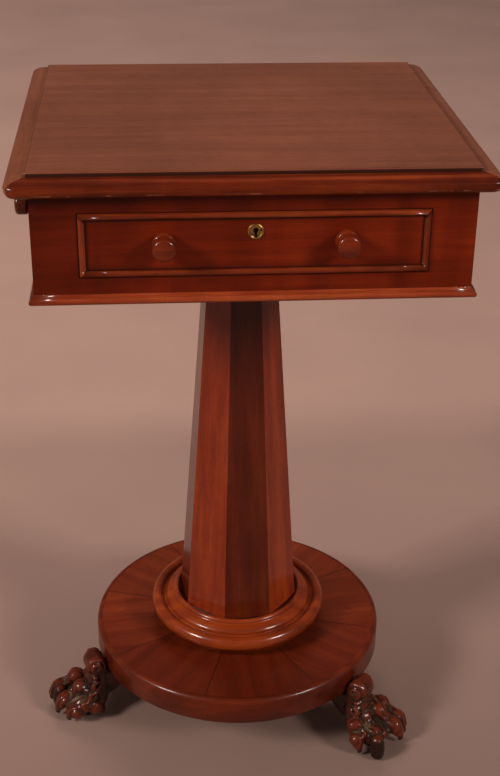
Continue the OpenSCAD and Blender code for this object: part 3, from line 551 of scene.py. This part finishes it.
# section: a round bead below, a hollow above it
proud, height, bead = baseLook["proud"], baseLook["height"], baseLook["bead"]
baseSection = np.concatenate([
    [[-baseLook["inner"], 0.0]],
    arc(proud - bead, bead, bead, bead, -90, 72, 14),
    arc(proud, height, proud, height - 2.2 * bead, 252, 180, 8),
    [[-baseLook["inner"], height]],
])
baseMoulding = mitredFrame("baseMoulding", sides, baseSection, friezeHalf, (baseAlongX, baseAlongY),
                           lambda p: p + [0, 0, friezeLow[2] - baseLook["height"]])
for strip, side in zip(baseMoulding, sides):
    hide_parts("base_moulding_" + side)
    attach(strip, "table")
print("base moulding made")


# Beads round the drawer and the sham drawers

beadLook = {"width": 6.0, "depth": 6.0, "proud": 3.0, "gap": 0.05}
frameParts = ["bottom", "right", "top", "left"]


def beadFrame(name, half, place):
    # half-round section: out runs into the frame from its outer line, up is towards the front
    w, depth = beadLook["width"], beadLook["depth"]
    section = np.concatenate([[[0.0, -depth]], arc(w / 2, 0, w / 2, beadLook["proud"], 180, 0, 15),
                              [[w, -depth]]])
    return mitredFrame(name, frameParts, section, half, (beadAlongX, beadUpright), place,
                       outward=-1, gap=beadLook["gap"])


def joined(name, pieces):
    # one object out of several
    bpy.ops.object.select_all(action="DESELECT")
    for piece in pieces:
        piece.select_set(True)
    bpy.context.view_layer.objects.active = pieces[0]
    bpy.ops.object.join()
    pieces[0].name = pieces[0].data.name = name
    return pieces[0]


def facing(side, middle):
    # lays a drawing (right, up, out) on a side of the frieze: 0 front, 1 right, 2 back, 3 left
    away = friezeHalf[0] if side % 2 else friezeHalf[1]

    def lay(p):
        upright = np.stack([p[..., 0], -p[..., 2] - away, p[..., 1] + middle], -1)
        return quarterTurns(upright, side)
    return lay


drawerHalf, drawerMiddle = (drawerHigh - drawerLow) / 2, (drawerHigh + drawerLow) / 2
drawerBeads = beadFrame("drawerBead", drawerHalf[[0, 2]], facing(0, drawerMiddle[2]))
for strip, part in zip(drawerBeads, frameParts):
    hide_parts("drawer_bead_" + part)
    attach(strip, "drawer")
for turns in (1, 2, 3):
    side = sides[turns]
    low, high = nodeBox("sham_beads_" + side)
    half, middle = (high - low) / 2, (high + low) / 2
    beads = joined("shamBeads_" + side,
                   beadFrame("shamBead_" + side, half[[turns % 2, 2]], facing(turns, middle[2])))
    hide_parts("sham_beads_" + side)
    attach(beads, "table")


# Knobs

knobLook = {"out": 24.0, "radius": 11.25, "foot": 11.0, "neck": 8.0, "spigot": 5.0, "spigotLength": 12.0,
            "roll": 2.5, "cove": 0.8, "coveReach": 3.3, "coveAt": 0.4, "rim": 0.15, "rise": 0.04}


def knobProfile(out, radius, foot, neck, spigot, spigotLength, roll, cove, coveReach, coveAt, rim, rise):
    # (radius, distance out): spigot, foot ring, groove, and a head with a rounded rim and a low dome;
    # the groove's place, the rim and the dome's rise are shares of the whole distance
    grooveAt, rim, rise = out * coveAt, out * rim, out * rise
    faceR = radius - rim
    domeR = (faceR ** 2 + rise ** 2) / (2 * rise)
    edge = math.degrees(math.acos(faceR / domeR))
    return np.concatenate([
        [[0.02, -spigotLength], [spigot, -spigotLength], [spigot, 0.0], [foot - 0.6, 0.0]],
        arc(foot - roll, roll, roll, roll, -60, 0, 7),
        arc(foot - roll, grooveAt - coveReach, roll, roll, 0, 75, 9),
        arc(neck + cove, grooveAt, cove, cove, 240, 120, 7),
        arc(radius - roll, grooveAt + coveReach, roll, roll, -75, 0, 8),
        arc(faceR, out - rise - rim, rim, rim, 0, 90, 12),
        arc(0, out - domeR, domeR, domeR, edge, 89.97, 10)[1:],
    ])


def knob(name, side, across, height, material):
    # the profile turned about an axis that points out of a side of the frieze
    lay = facing(side, height)
    return turned(name, knobProfile(**knobLook), material, 64, lambda p: lay(p + [across, 0, 0]))


knobHeight = sum(nodeBox("drawer_knob_left"))[2] / 2
knobAcross = sum(nodeBox("drawer_knob_right"))[0] / 2
for sign, part in ((-1, "left"), (1, "right")):
    handle = knob("drawerKnob_" + part, 0, sign * knobAcross, knobHeight, knobWood)
    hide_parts("drawer_knob_" + part)
    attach(handle, "drawer")
for turns in (1, 2, 3):
    side = sides[turns]
    pair = joined("shamKnobs_" + side,
                  [knob(f"shamKnob_{side}_{i}", turns, x, knobHeight, shadedShamKnobWood)
                   for i, x in enumerate((-knobAcross, knobAcross))])
    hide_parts("sham_knobs_" + side)
    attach(pair, "table")
print("frieze dressed")


# Column

columnLook = {"baseWidth": 137.5, "topWidth": 71.0, "turn": 6.0, "arris": 1.1}
flatTurn = math.radians(columnLook["turn"])
cornerTurn = flatTurn + sector / 2
columnWood = wood("columnWood", "Z", facets=cornerTurn, tones=((74, 20, 4), (118, 37, 9), (152, 60, 19)),
                  bands=34.0, figure=0.1, streaks=0.3, coat=0.6, place=(0.0, 0.02, 0.4))
columnHeight = friezeLow[2] - baseLook["height"] - veneerTop


def columnWidth(share):
    # across the flats, at a share of the height
    return columnLook["baseWidth"] + (columnLook["topWidth"] - columnLook["baseWidth"]) * share


def columnReach(angles, up):
    # from the axis to the flats, at some angles and at a height above the platform
    fromMiddle = (angles - flatTurn + sector / 2) % sector - sector / 2
    return columnWidth(up / columnHeight) / 2 / np.cos(fromMiddle)


def octagon(share):
    # eight corners, each a short arc of radius `arris` between the flats
    arris = columnLook["arris"]
    cornerR = (columnWidth(share) / 2 - arris) / math.cos(sector / 2)
    centre = np.arange(8)[:, None] * sector + cornerTurn
    angle = centre + np.linspace(-sector / 2, sector / 2, 5)
    x = cornerR * np.cos(centre) + arris * np.cos(angle)
    y = cornerR * np.sin(centre) + arris * np.sin(angle)
    return np.stack([x, y, np.full_like(x, veneerTop + columnHeight * share)], -1).reshape(-1, 3)


shaft = stack("columnShaft", np.array([octagon(share) for share in np.linspace(0, 1, 12)]), columnWood)
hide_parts("column")
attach(shaft, "table")
print("column made")


# Collar

collarLook = {"bore": 75.4, "neck": 90.4, "out": 105.4, "beadHalf": 6.6, "beadRise": 8.25,
              "beadAt": 22.55, "seat": 27.5, "seatOut": 89.9, "upperOut": 89.4, "upperHeight": 12.5,
              "fillet": 3.0, "upperIn": 72.1, "ledge": 9.0, "clear": 0.4}
# within paints shade on the ledge between the upper ring and the column
collarWood = wood("collarWood", tones=((76, 23, 6), (122, 44, 11), (154, 68, 22)), gloss=0.3,
                  coat=0.6, coatGloss=0.14, figure=0.1, streaks=0.25, place=(0.15, 0.3, 0.2),
                  within=(collarLook["upperIn"] + 1.5) * mm)


def lowerSection(bore, neck, out, beadHalf, beadRise, beadAt, seat, seatOut, **_):
    # (radius, height): a neck, a round bead that overhangs it, a groove and the upper ring's seat
    return np.concatenate([
        [[bore, 0.0], [neck, 0.0], [neck, beadAt - beadRise]],
        arc(out - beadHalf, beadAt, beadHalf, beadRise, -140, 160, 44),
        [[seatOut + 0.9, seat - 3.2], [seatOut, seat], [bore, seat]],
    ])


def upperSection(upperIn, upperOut, upperHeight, fillet, ledge, **_):
    # (radius, height): a slope that ends in a small bead beside the column, and inside it a ledge
    slopeEnd = upperIn + 2 * fillet, upperHeight - fillet
    return np.concatenate([
        [[upperIn, 0.0], [upperOut - 0.8, 0.0], [upperOut, 0.8], [upperOut - 3.2, 3.9],
         [upperOut - 6.0, 6.1], [slopeEnd[0] + 1.6, slopeEnd[1] - 1.6],
         [slopeEnd[0] - 0.3, slopeEnd[1] - 1.3]],
        arc(upperIn + fillet, upperHeight - fillet, fillet, fillet, -20, 172, 20), [[upperIn, ledge]],
    ])


around = np.linspace(0, 2 * np.pi, 192, endpoint=False)
for name, section, base in (("lower", lowerSection(**collarLook), 0.0),
                            ("upper", upperSection(**collarLook), collarLook["seat"])):
    radius = np.repeat(section[:, :1], len(around), 1)
    if name == "upper":
        # its first and last points follow the column's flats
        for row in (0, -1):
            radius[row] = columnReach(around, base + section[row, 1]) + collarLook["clear"]
    rings = np.stack([radius * np.cos(around), radius * np.sin(around),
                      np.repeat(section[:, 1:] + veneerTop + base, len(around), 1)], -1)
    ring = stack("collarRing_" + name, rings, collarWood, loop=True, flatten=False)
    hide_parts("collar_" + name)
    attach(ring, "table")
print("collar made")


# Platform: a veneered disc and a band round it with a rounded top edge

platformLook = {"band": 6.5, "arris": 5.5, "veneer": 1.5, "veneerIn": 38.0, "chamfer": 0.5}
# painted shade: the disc's veneer is darker at the front than at the back
discVeneer = wood("discVeneer", radial=cornerTurn, tones=((75, 25, 9), (112, 41, 16), (145, 61, 25)),
                  bands=30.0, coat=0.25, coatGloss=0.25, gloss=0.42, figure=0.1, streaks=0.2,
                  banding=0.12, endShade=("Y", -0.14, 0.12, (0.5, 0.4, 0.42, 1.0)))
bandIn = platformR - platformLook["band"]
chamfer, arris = platformLook["chamfer"], platformLook["arris"]
bandSection = np.concatenate([
    [[bandIn, rimLow[2]], [platformR - chamfer, rimLow[2]], [platformR, rimLow[2] + chamfer]],
    arc(platformR - arris, rimHigh[2] - arris, arris, arris, 0, 90, 16),
    [[bandIn, rimHigh[2]]],
])
band = turned("platformBand", bandSection, rimWood, 240, loop=True)
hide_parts("platform_edge_band")
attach(band, "table")
veneerIn, veneerLow = platformLook["veneerIn"], veneerTop - platformLook["veneer"]
veneerSection = np.array([[veneerIn, veneerLow], [bandIn, veneerLow], [bandIn, veneerTop],
                          [veneerIn, veneerTop]])
veneer = turned("platformVeneer", veneerSection, discVeneer, 240, loop=True)
veneer.data.polygons.foreach_set("use_smooth", np.zeros(len(veneer.data.polygons), bool))
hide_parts("platform_veneer")
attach(veneer, "table")
print("platform made")


# Carved feet: tubes for the leg, the scroll, the toes, the claws and the locks of hair are fused
# into one skin, which is smoothed. All are in a foot's own frame: x away from the column, y across.

footLook = {
    "turns": {"left": -162.0, "right": -42.0, "back": 78.0},
    # toes: how far set back, share of the full length, places of the two knuckles and the tip across
    # the paw, and how much lower the toe lies
    "toes": {
        "left": [(0.0, 1.0, (-21.4, -28.5, -30.8), 0.0), (0.0, 1.0, (1.4, -2.3, -4.0), 0.0),
                 (19.0, 0.6, (8.0, 8.5, 8.5), 4.0), (9.0, 1.0, (18.2, 17.1, 14.2), 19.0)],
        "right": [(4.0, 1.0, (23.4, 29.9, 30.8), 0.0), (0.0, 1.0, (10.8, 16.0, 18.2), 0.0),
                  (12.0, 0.9, (-5.1, -10.3, -12.8), 2.0), (26.0, 0.4, (-21.4, -28.5, -30.8), 7.0)],
    },
    "toeTip": 231.5, "knuckleHeight": 40.0, "tipHeight": 16.5, "hookTop": 14.0, "hookFrom": 200.0,
    "claw": -22.0, "clawAt": 227.0, "clawTop": 33.0,
    "scroll": (186.5, 72.4), "scrollHalf": (12.4, 12.9), "scrollFlat": 7.5, "scrollDome": 8.0,
    "voxel": 1.05, "rounds": 3, "hollowRounds": 26, "hollowDepth": 0.9,
    "cut": 0.6, "cutWidth": 6.4, "ridge": 2.1,
    "underside": 68.0, "clear": 0.3,
}


def smoothPath(points, steps):
    # Catmull-Rom curve through the rows of points
    p = np.asarray(points, float)
    p = np.vstack([2 * p[0] - p[1], p, 2 * p[-1] - p[-2]])
    n = len(p) - 3
    t = np.linspace(0, n, steps)
    i = np.minimum(t.astype(int), n - 1)
    u = (t - i)[:, None]
    a, b, c, d = p[i], p[i + 1], p[i + 2], p[i + 3]
    return 0.5 * (2 * b + (c - a) * u + (2 * a - 5 * b + 4 * c - d) * u ** 2
                  + (3 * b - a - 3 * c + d) * u ** 3)


def tube(points, steps=24, cols=20, square=2.0, bulge=1.0):
    # rows of points: x, y, z, half width, half height; superellipse sections, domed ends whose
    # height is `bulge` of their half width
    rows = smoothPath(points, steps)
    path, wide, high = rows[:, :3], rows[:, 3:4], rows[:, 4:5]
    ahead = np.gradient(path, axis=0)
    ahead /= np.linalg.norm(ahead, axis=1)[:, None]
    upright = np.where(np.abs(ahead[:, 2:]) > 0.92, [[1.0, 0.0, 0.0]], [[0.0, 0.0, 1.0]])
    aside = np.cross(ahead, upright)
    aside /= np.linalg.norm(aside, axis=1)[:, None]
    above = np.cross(aside, ahead)
    dome = np.radians([86, 66, 44, 22])
    reach = np.minimum(wide, high) * bulge

    def end(i, sign, angles):
        # sections of the dome at one end of the path
        shrink = np.cos(angles)[:, None]
        return (path[i] + sign * ahead[i] * reach[i] * np.sin(angles)[:, None], wide[i] * shrink,
                high[i] * shrink, np.tile(aside[i], (4, 1)), np.tile(above[i], (4, 1)))

    parts = [end(0, -1, dome), (path, wide, high, aside, above), end(-1, 1, dome[::-1])]
    path, wide, high, aside, above = (np.concatenate(group) for group in zip(*parts))
    t = np.linspace(0, 2 * np.pi, cols, endpoint=False)
    c = np.sign(np.cos(t)) * np.abs(np.cos(t)) ** (2 / square)
    s = np.sign(np.sin(t)) * np.abs(np.sin(t)) ** (2 / square)
    rings = (path[:, None] + aside[:, None] * (wide * c)[:, :, None]
             + above[:, None] * (high * s)[:, :, None])
    return rings.reshape(-1, 3), ringFaces(len(rings), cols)


def volute(side):
    # spiral ridge on a domed end of the scroll: the radius shrinks evenly as it turns
    x, z = footLook["scroll"]
    r, flat, dome = footLook["scrollHalf"][0], footLook["scrollFlat"], footLook["scrollDome"]
    t = np.linspace(0, 1, 13)
    angle, radius = math.radians(70) + t * math.radians(560), r * (0.88 - 0.7 * t)
    y = side * (flat + dome * np.sqrt(1 - (radius / r) ** 2))
    half = np.full(len(t), footLook["ridge"])
    return np.column_stack([x + radius * np.cos(angle), y, z + radius * np.sin(angle), half, half])


def legTubes():
    # arm under the platform, leg, scroll with its ridges, back of the paw, sole and long claw
    x, z = footLook["scroll"]
    wide, high = footLook["scrollHalf"]
    flat, claw = footLook["scrollFlat"], footLook["claw"]
    tubes = [
        tube([(106, 0, 64.5, 13, 3.5), (130, 0, 61.5, 14, 6.5), (152, 0, 56, 15, 12),
              (172, 0, 48, 15.5, 20), (184, 0, 44, 15.5, 20)], 30, 28, 3.2),
        tube([(181, 0, 66, 14.5, 7.5), (181, 0, 54, 16.5, 10), (183, 0, 40, 19, 12),
              (187, 0, 24, 21, 13), (190, 0, 10, 15, 11)], 30, 28, 2.3),
        tube([(x, -flat, z, wide, high), (x, 0, z, wide, high), (x, flat, z, wide, high)], 14, 36,
             bulge=footLook["scrollDome"] / wide),
        tube([(181, -12, 60, 7, 11), (181, 12, 60, 7, 11)], 6, 16, 3, 0.4),
        tube([(190, 0, 31, 20, 13), (202, 0, 27, 25, 11), (214, -1, 21, 25, 9), (220, -2, 18, 21, 8)],
             16, 28, 2.5, 0.6),
        tube([(196, 0, 10, 15, 10), (212, -2, 11, 15, 9)], 8, 20, 3.2),
        tube([(225.5, claw + 1.5, 25, 7.6, 8), (227.5, claw, 16, 7.8, 8), (227.5, claw, 8.3, 7.2, 8.1)],
             12, 22, 2.4),
    ]
    for i in range(3):
        # rolled ridges under the scroll, each shorter than the last
        ends, drop = 14.5 - i, 6.2 * i
        tubes.append(tube([(190 + 1.4 * i, -ends, 58.5 - drop, 3.4, 2.6),
                           (193.6 + i, 0, 59 - drop, 3.8, 2.9),
                           (190 + 1.4 * i, ends, 58.5 - drop, 3.4, 2.6)], 12, 14))
    for side in (-1, 1):
        tubes.append(tube(volute(side), 50, 10))
    return tubes


def toeTubes(back, long, across, lower):
    # a toe from the back of the paw over two knuckles to the tip, and its claw
    tip, tipAt = footLook["toeTip"] - back, footLook["tipHeight"]
    knuckle = footLook["knuckleHeight"] - lower
    first, second, last = across
    reach = np.array([36.0, 27.0, 17.0, 7.0, 0.0]) * long
    rise = np.array([knuckle - 9, knuckle + 0.4, (knuckle + tipAt) / 2 + 3.0,
                     tipAt + 8.3 - lower / 3, tipAt])
    y = np.array([first * 0.84, first, (first + second) / 2, second, last])
    size = np.array([6.2, 9.9, 6.4, 9.7, 6.6])
    path = np.column_stack([tip - reach, y, rise, size, size])
    hook = [(tip + 1.0, last, tipAt - 2.5, 5.0, 4.4), (tip + 3.4, last, tipAt - 7.0, 3.6, 3.2),
            (tip + 1.6, last, tipAt - 11.0, 2.0, 1.8)]
    tubes = [tube(path, 36, 24, 2.2), tube(hook, 12, 14)]
    if long > 0.5:
        # two wrinkles over the dip between the knuckles
        for share in (0.35, 0.6):
            x = tip - reach[1] + (reach[1] - reach[3]) * share
            middle, z = first + (second - first) * share, rise[2] + 7.6 - 7 * (share - 0.5)
            tubes.append(tube([(x, middle - 6.5, z - 4.2, 1.3, 1.2), (x + 0.8, middle, z, 1.6, 1.3),
                               (x, middle + 6.5, z - 4.2, 1.3, 1.2)], 12, 10))
    return tubes


def curl(centre, along, up, radius, start, sweep, thick):
    # lock of hair: an arc round its centre that winds inwards, thinner at both ends
    t = np.linspace(0, 1, 9)
    angle, reach = math.radians(start) + t * math.radians(sweep), radius * (1 - 0.5 * t)
    path = (np.array(centre) + reach[:, None] * (np.cos(angle)[:, None] * np.array(along)
                                                 + np.sin(angle)[:, None] * np.array(up)))
    width = thick * (0.55 + 0.45 * np.sin(math.pi * (0.1 + 0.75 * t)))
    return tube(np.column_stack([path, width, width]), 26, 12)


def lockTubes():
    # curls on both flanks and on the back of the paw, behind the knuckles
    tubes = []
    flank = [(189, 47, 17.0, 6.0, 100, -290), (195, 35, 20.5, 6.5, 140, -300),
             (190, 22, 20.5, 6.0, 60, -280), (206, 27, 23.5, 5.2, 160, -290)]
    for side in (-1, 1):
        along, up = (1, side * 0.12, 0), (0, -side * 0.15, 1)
        for x, z, out, radius, start, sweep in flank:
            tubes.append(curl((x, side * out, z), along, up, radius, start, sweep, 2.9))
    for i, y in enumerate((-17, -8.5, 0, 8.5, 17)):
        turn = -1 if i % 2 else 1
        centre = (198.5 + 1.5 * (i % 2), y, 42 - abs(y) * 0.42)
        tubes.append(curl(centre, (1, 0, -0.55), (0, 1, -0.3 * np.sign(y)), 5.6,
                          200 * turn, 300 * turn, 2.8))
    return tubes


def footTubes(side):
    # all tubes of one foot
    toes = [part for toe in footLook["toes"][side] for part in toeTubes(*toe)]
    return legTubes() + toes + lockTubes()


def hornShare(p):
    # 1 on the claws, which are the lowest and outermost parts, and on the long claw, which is a
    # column that stands round one place and is twice as high
    x, y, z = p.T
    hooks = np.clip((footLook["hookTop"] - z) / 4.0, 0, 1) * (x > footLook["hookFrom"])
    fromClaw = np.hypot(x - footLook["clawAt"], y - footLook["claw"])
    column = np.clip((11.0 - fromClaw) / 2.0, 0, 1) * np.clip((footLook["clawTop"] - z) / 6.0, 0, 1)
    return np.maximum(hooks, column)


def gougeCuts(p):
    # grooves along the toes: a sine of the distance across, bent by slower sines, weaker on the
    # scroll and on the claws
    x, y, z = p.T
    bent = y + 3.0 * np.sin(x / 6.2 + z / 9.0) + 2.0 * np.sin(z / 5.6 - x / 11.0)
    wave = np.sin(bent * 2 * math.pi / footLook["cutWidth"]) * (0.55 + 0.45 * np.sin(x / 2.3 + y / 4.1))
    strength = np.clip((66 - z) / 8, 0.15, 1) * np.clip((x - 178) / 14, 0, 1) * (1 - 0.85 * hornShare(p))
    return footLook["cut"] * wave * strength


def neighbourMean(points, edges, counts):
    # mean of each vertex's neighbours
    a, b = edges.T
    total = [np.bincount(a, points[b, i], len(points)) + np.bincount(b, points[a, i], len(points))
             for i in range(3)]
    return np.stack(total, -1) / counts[:, None]


def readAll(items, key, width, kind=float):
    # one property of all items, a row of `width` numbers for each
    values = np.empty(len(items) * width, kind)
    items.foreach_get(key, values)
    return values.reshape(-1, width)


def fusedMesh(name, tubes):
    # a voxel remesh of all the tubes, each turned so that its faces point outwards
    start, points, faces = 0, [], []
    for p, f in tubes:
        points.append(p)
        outward = f if signedVolume(p, f) > 0 else [face[::-1] for face in f]
        faces += [[i + start for i in face] for face in outward]
        start += len(p)
    mesh = bpy.data.meshes.new(name)
    mesh.from_pydata((np.concatenate(points) * mm).tolist(), [], faces)
    blank = addObject(name, mesh)
    fuse = blank.modifiers.new("fuse", "REMESH")
    fuse.mode, fuse.voxel_size = "VOXEL", footLook["voxel"] * mm
    skin = bpy.data.meshes.new_from_object(blank.evaluated_get(bpy.context.evaluated_depsgraph_get()))
    bpy.data.objects.remove(blank)
    return skin


def carvedSkin(name, tubes):
    # the fused, smoothed skin: points in millimetres, faces, and each point's depth in a hollow,
    # which is its distance along its normal from the mean of the skin around it
    skin = fusedMesh(name, tubes)
    p = readAll(skin.vertices, "co", 3) / mm
    edges = readAll(skin.edges, "vertices", 2, int)
    counts = np.bincount(edges.ravel(), minlength=len(p)).astype(float)
    for _ in range(footLook["rounds"]):
        p = p + 0.6 * (neighbourMean(p, edges, counts) - p)
    skin.vertices.foreach_set("co", (p * mm).ravel())
    skin.update()
    normals = readAll(skin.vertices, "normal", 3)
    p = p + normals * gougeCuts(p)[:, None]
    soft = p
    for _ in range(footLook["hollowRounds"]):
        soft = neighbourMean(soft, edges, counts)
    depth = np.einsum("ij,ij->i", soft - p, normals)
    # flat on the floor, and clear of the platform above its underside
    underside, clearR = footLook["underside"], platformR + footLook["clear"]
    radius = np.hypot(p[:, 0], p[:, 1])
    inside = (p[:, 2] > underside) & (radius < clearR)
    lift = inside & (p[:, 2] - underside <= clearR - radius)
    p[lift, 2] = underside
    push = inside & ~lift
    p[push, :2] *= (clearR / radius[push])[:, None]
    p[:, 2] = np.maximum(p[:, 2], 0.0)
    quads = [list(f.vertices) for f in skin.polygons]
    bpy.data.meshes.remove(skin)
    return p, quads, depth


skins = {side: carvedSkin("footBlank", footTubes(side)) for side in ("left", "right")}
for side in ("left", "right", "back"):
    points, faces, depth = skins["right" if side == "right" else "left"]
    angle = math.radians(footLook["turns"][side])
    placed = swung(points, math.cos(angle), math.sin(angle)) * mm
    foot = addMesh("pawFoot_" + side, placed, faces, carvedWood, flatten=False)
    hollow = depth / footLook["hollowDepth"]
    for label, value in (("hollow", hollow), ("crest", -hollow), ("horn", hornShare(points))):
        layer = foot.data.attributes.new(label, "FLOAT", "POINT")
        layer.data.foreach_set("value", np.clip(value, 0, 1))
    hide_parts("foot_" + side)
    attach(foot, "table")
    print("foot", side, len(points))


# Floor, lights and camera

floorLook = {"colour": rgb(146, 118, 107), "mottle": rgb(128, 102, 94), "size": 24.0,
             "near": 0.78, "litBand": 0.66}
paint = Finish("paperFloor")
spot = paint.node("TexCoord", output="Object")
mottle = paint.node("TexNoise", None, {"Vector": spot, "Scale": 3.0, "Detail": 4.0})
floorColour = paint.blend(mottle, floorLook["colour"], floorLook["mottle"])
# painted light and shade on the floor: darker in front, a painted band of light starts behind the table
# and darkens to the back, and the right is darker than the left
x, y, _ = paint.split(spot)
litBand = floorLook["litBand"]
aside = paint.maths("MINIMUM", paint.maths("MAXIMUM", x, -1.6), 1.6)
tone = (y.step(-0.35, 0.45) * 0.34 + floorLook["near"] + y.step(litBand - 0.1, litBand + 0.1) * 0.36
        - y.step(1.2, 4.2) * 0.3 - aside * 0.16)
shade = paint.node("CombineXYZ", None, {0: tone, 1: tone, 2: tone})
floorColour = paint.node("VectorMath", {"operation": "MULTIPLY"}, {0: floorColour, 1: shade})
half = floorLook["size"] / 2
corners = [(-half, -half, 0), (half, -half, 0), (half, half, 0), (-half, half, 0)]
floorMesh = bpy.data.meshes.new("floor")
floorMesh.from_pydata(corners, [], [(0, 1, 2, 3)])
floorMesh.materials.append(paint.finish(**{"Base Color": floorColour, "Roughness": 0.9}))
floor = addObject("floor", floorMesh)

# the world is darker to reflections, as a room behind the camera is
worldLook = {"colour": rgb(226, 210, 200), "strength": 0.32, "reflected": 0.12}
world = bpy.data.worlds.new("studio")
bpy.context.scene.world = world
world.use_nodes = True
backdrop = world.node_tree.nodes["Background"]
backdrop.inputs["Color"].default_value = worldLook["colour"]
paint = Paint(world.node_tree)
glossy = paint.node("LightPath", output="Is Glossy Ray")
strength, reflected = worldLook["strength"], worldLook["reflected"]
paint.feed(backdrop.inputs["Strength"], glossy * (reflected - strength) + strength)

# the lamp behind lights the floor and the far sides, and is not mirrored by the polish
lamps = [
    # name, place, aim, width, watts, warmth
    ("softboxLeft", (-4.4, -2.4, 3.5), (0.0, 0.0, 0.5), 1.2, 280.0, rgb(255, 244, 234)),
    ("softboxRight", (3.8, -3.3, 3.1), (0.0, 0.0, 0.5), 1.2, 190.0, rgb(255, 242, 234)),
    ("softboxBehind", (0.0, 4.6, 5.6), (0.0, 0.6, 0.2), 3.0, 180.0, rgb(255, 244, 238)),
]
for name, place, aim, width, watts, warmth in lamps:
    light = bpy.data.lights.new(name, "AREA")
    light.shape, light.size = "SQUARE", width
    light.energy, light.color = watts, warmth[:3]
    lamp = addObject(name, light)
    lamp.rotation_euler = (Vector(aim) - Vector(place)).to_track_quat("-Z", "Y").to_euler()
    lamp.location = place
    lamp.visible_camera = False
    lamp.visible_glossy = name != "softboxBehind"

# fitted to the photo's straight edges and circles: place in metres, angles in radians, lens in mm
view = {"place": (-0.098, -1.3672, 1.1174), "yaw": 0.0806, "pitch": 0.4758, "roll": -0.0119,
        "lens": 62.445}
cy, sy = math.cos(view["yaw"]), math.sin(view["yaw"])
cp, sp = math.cos(view["pitch"]), math.sin(view["pitch"])
forward = np.array([sy * cp, cy * cp, -sp])
right = np.array([cy, -sy, 0.0])
down = np.cross(forward, right)
cr, sr = math.cos(view["roll"]), math.sin(view["roll"])
right, down = cr * right + sr * down, cr * down - sr * right
camera = addObject("camera", bpy.data.cameras.new("camera"))
turn = np.eye(4)
turn[:3, 0], turn[:3, 1], turn[:3, 2], turn[:3, 3] = right, -down, -forward, view["place"]
camera.matrix_world = Matrix(turn.tolist())
camera.data.lens = view["lens"]
camera.data.sensor_width = 36.0
camera.data.clip_start, camera.data.clip_end = 0.05, 60.0
bpy.context.scene.camera = camera
bpy.context.scene.view_settings.view_transform = "Standard"
print("stage set")
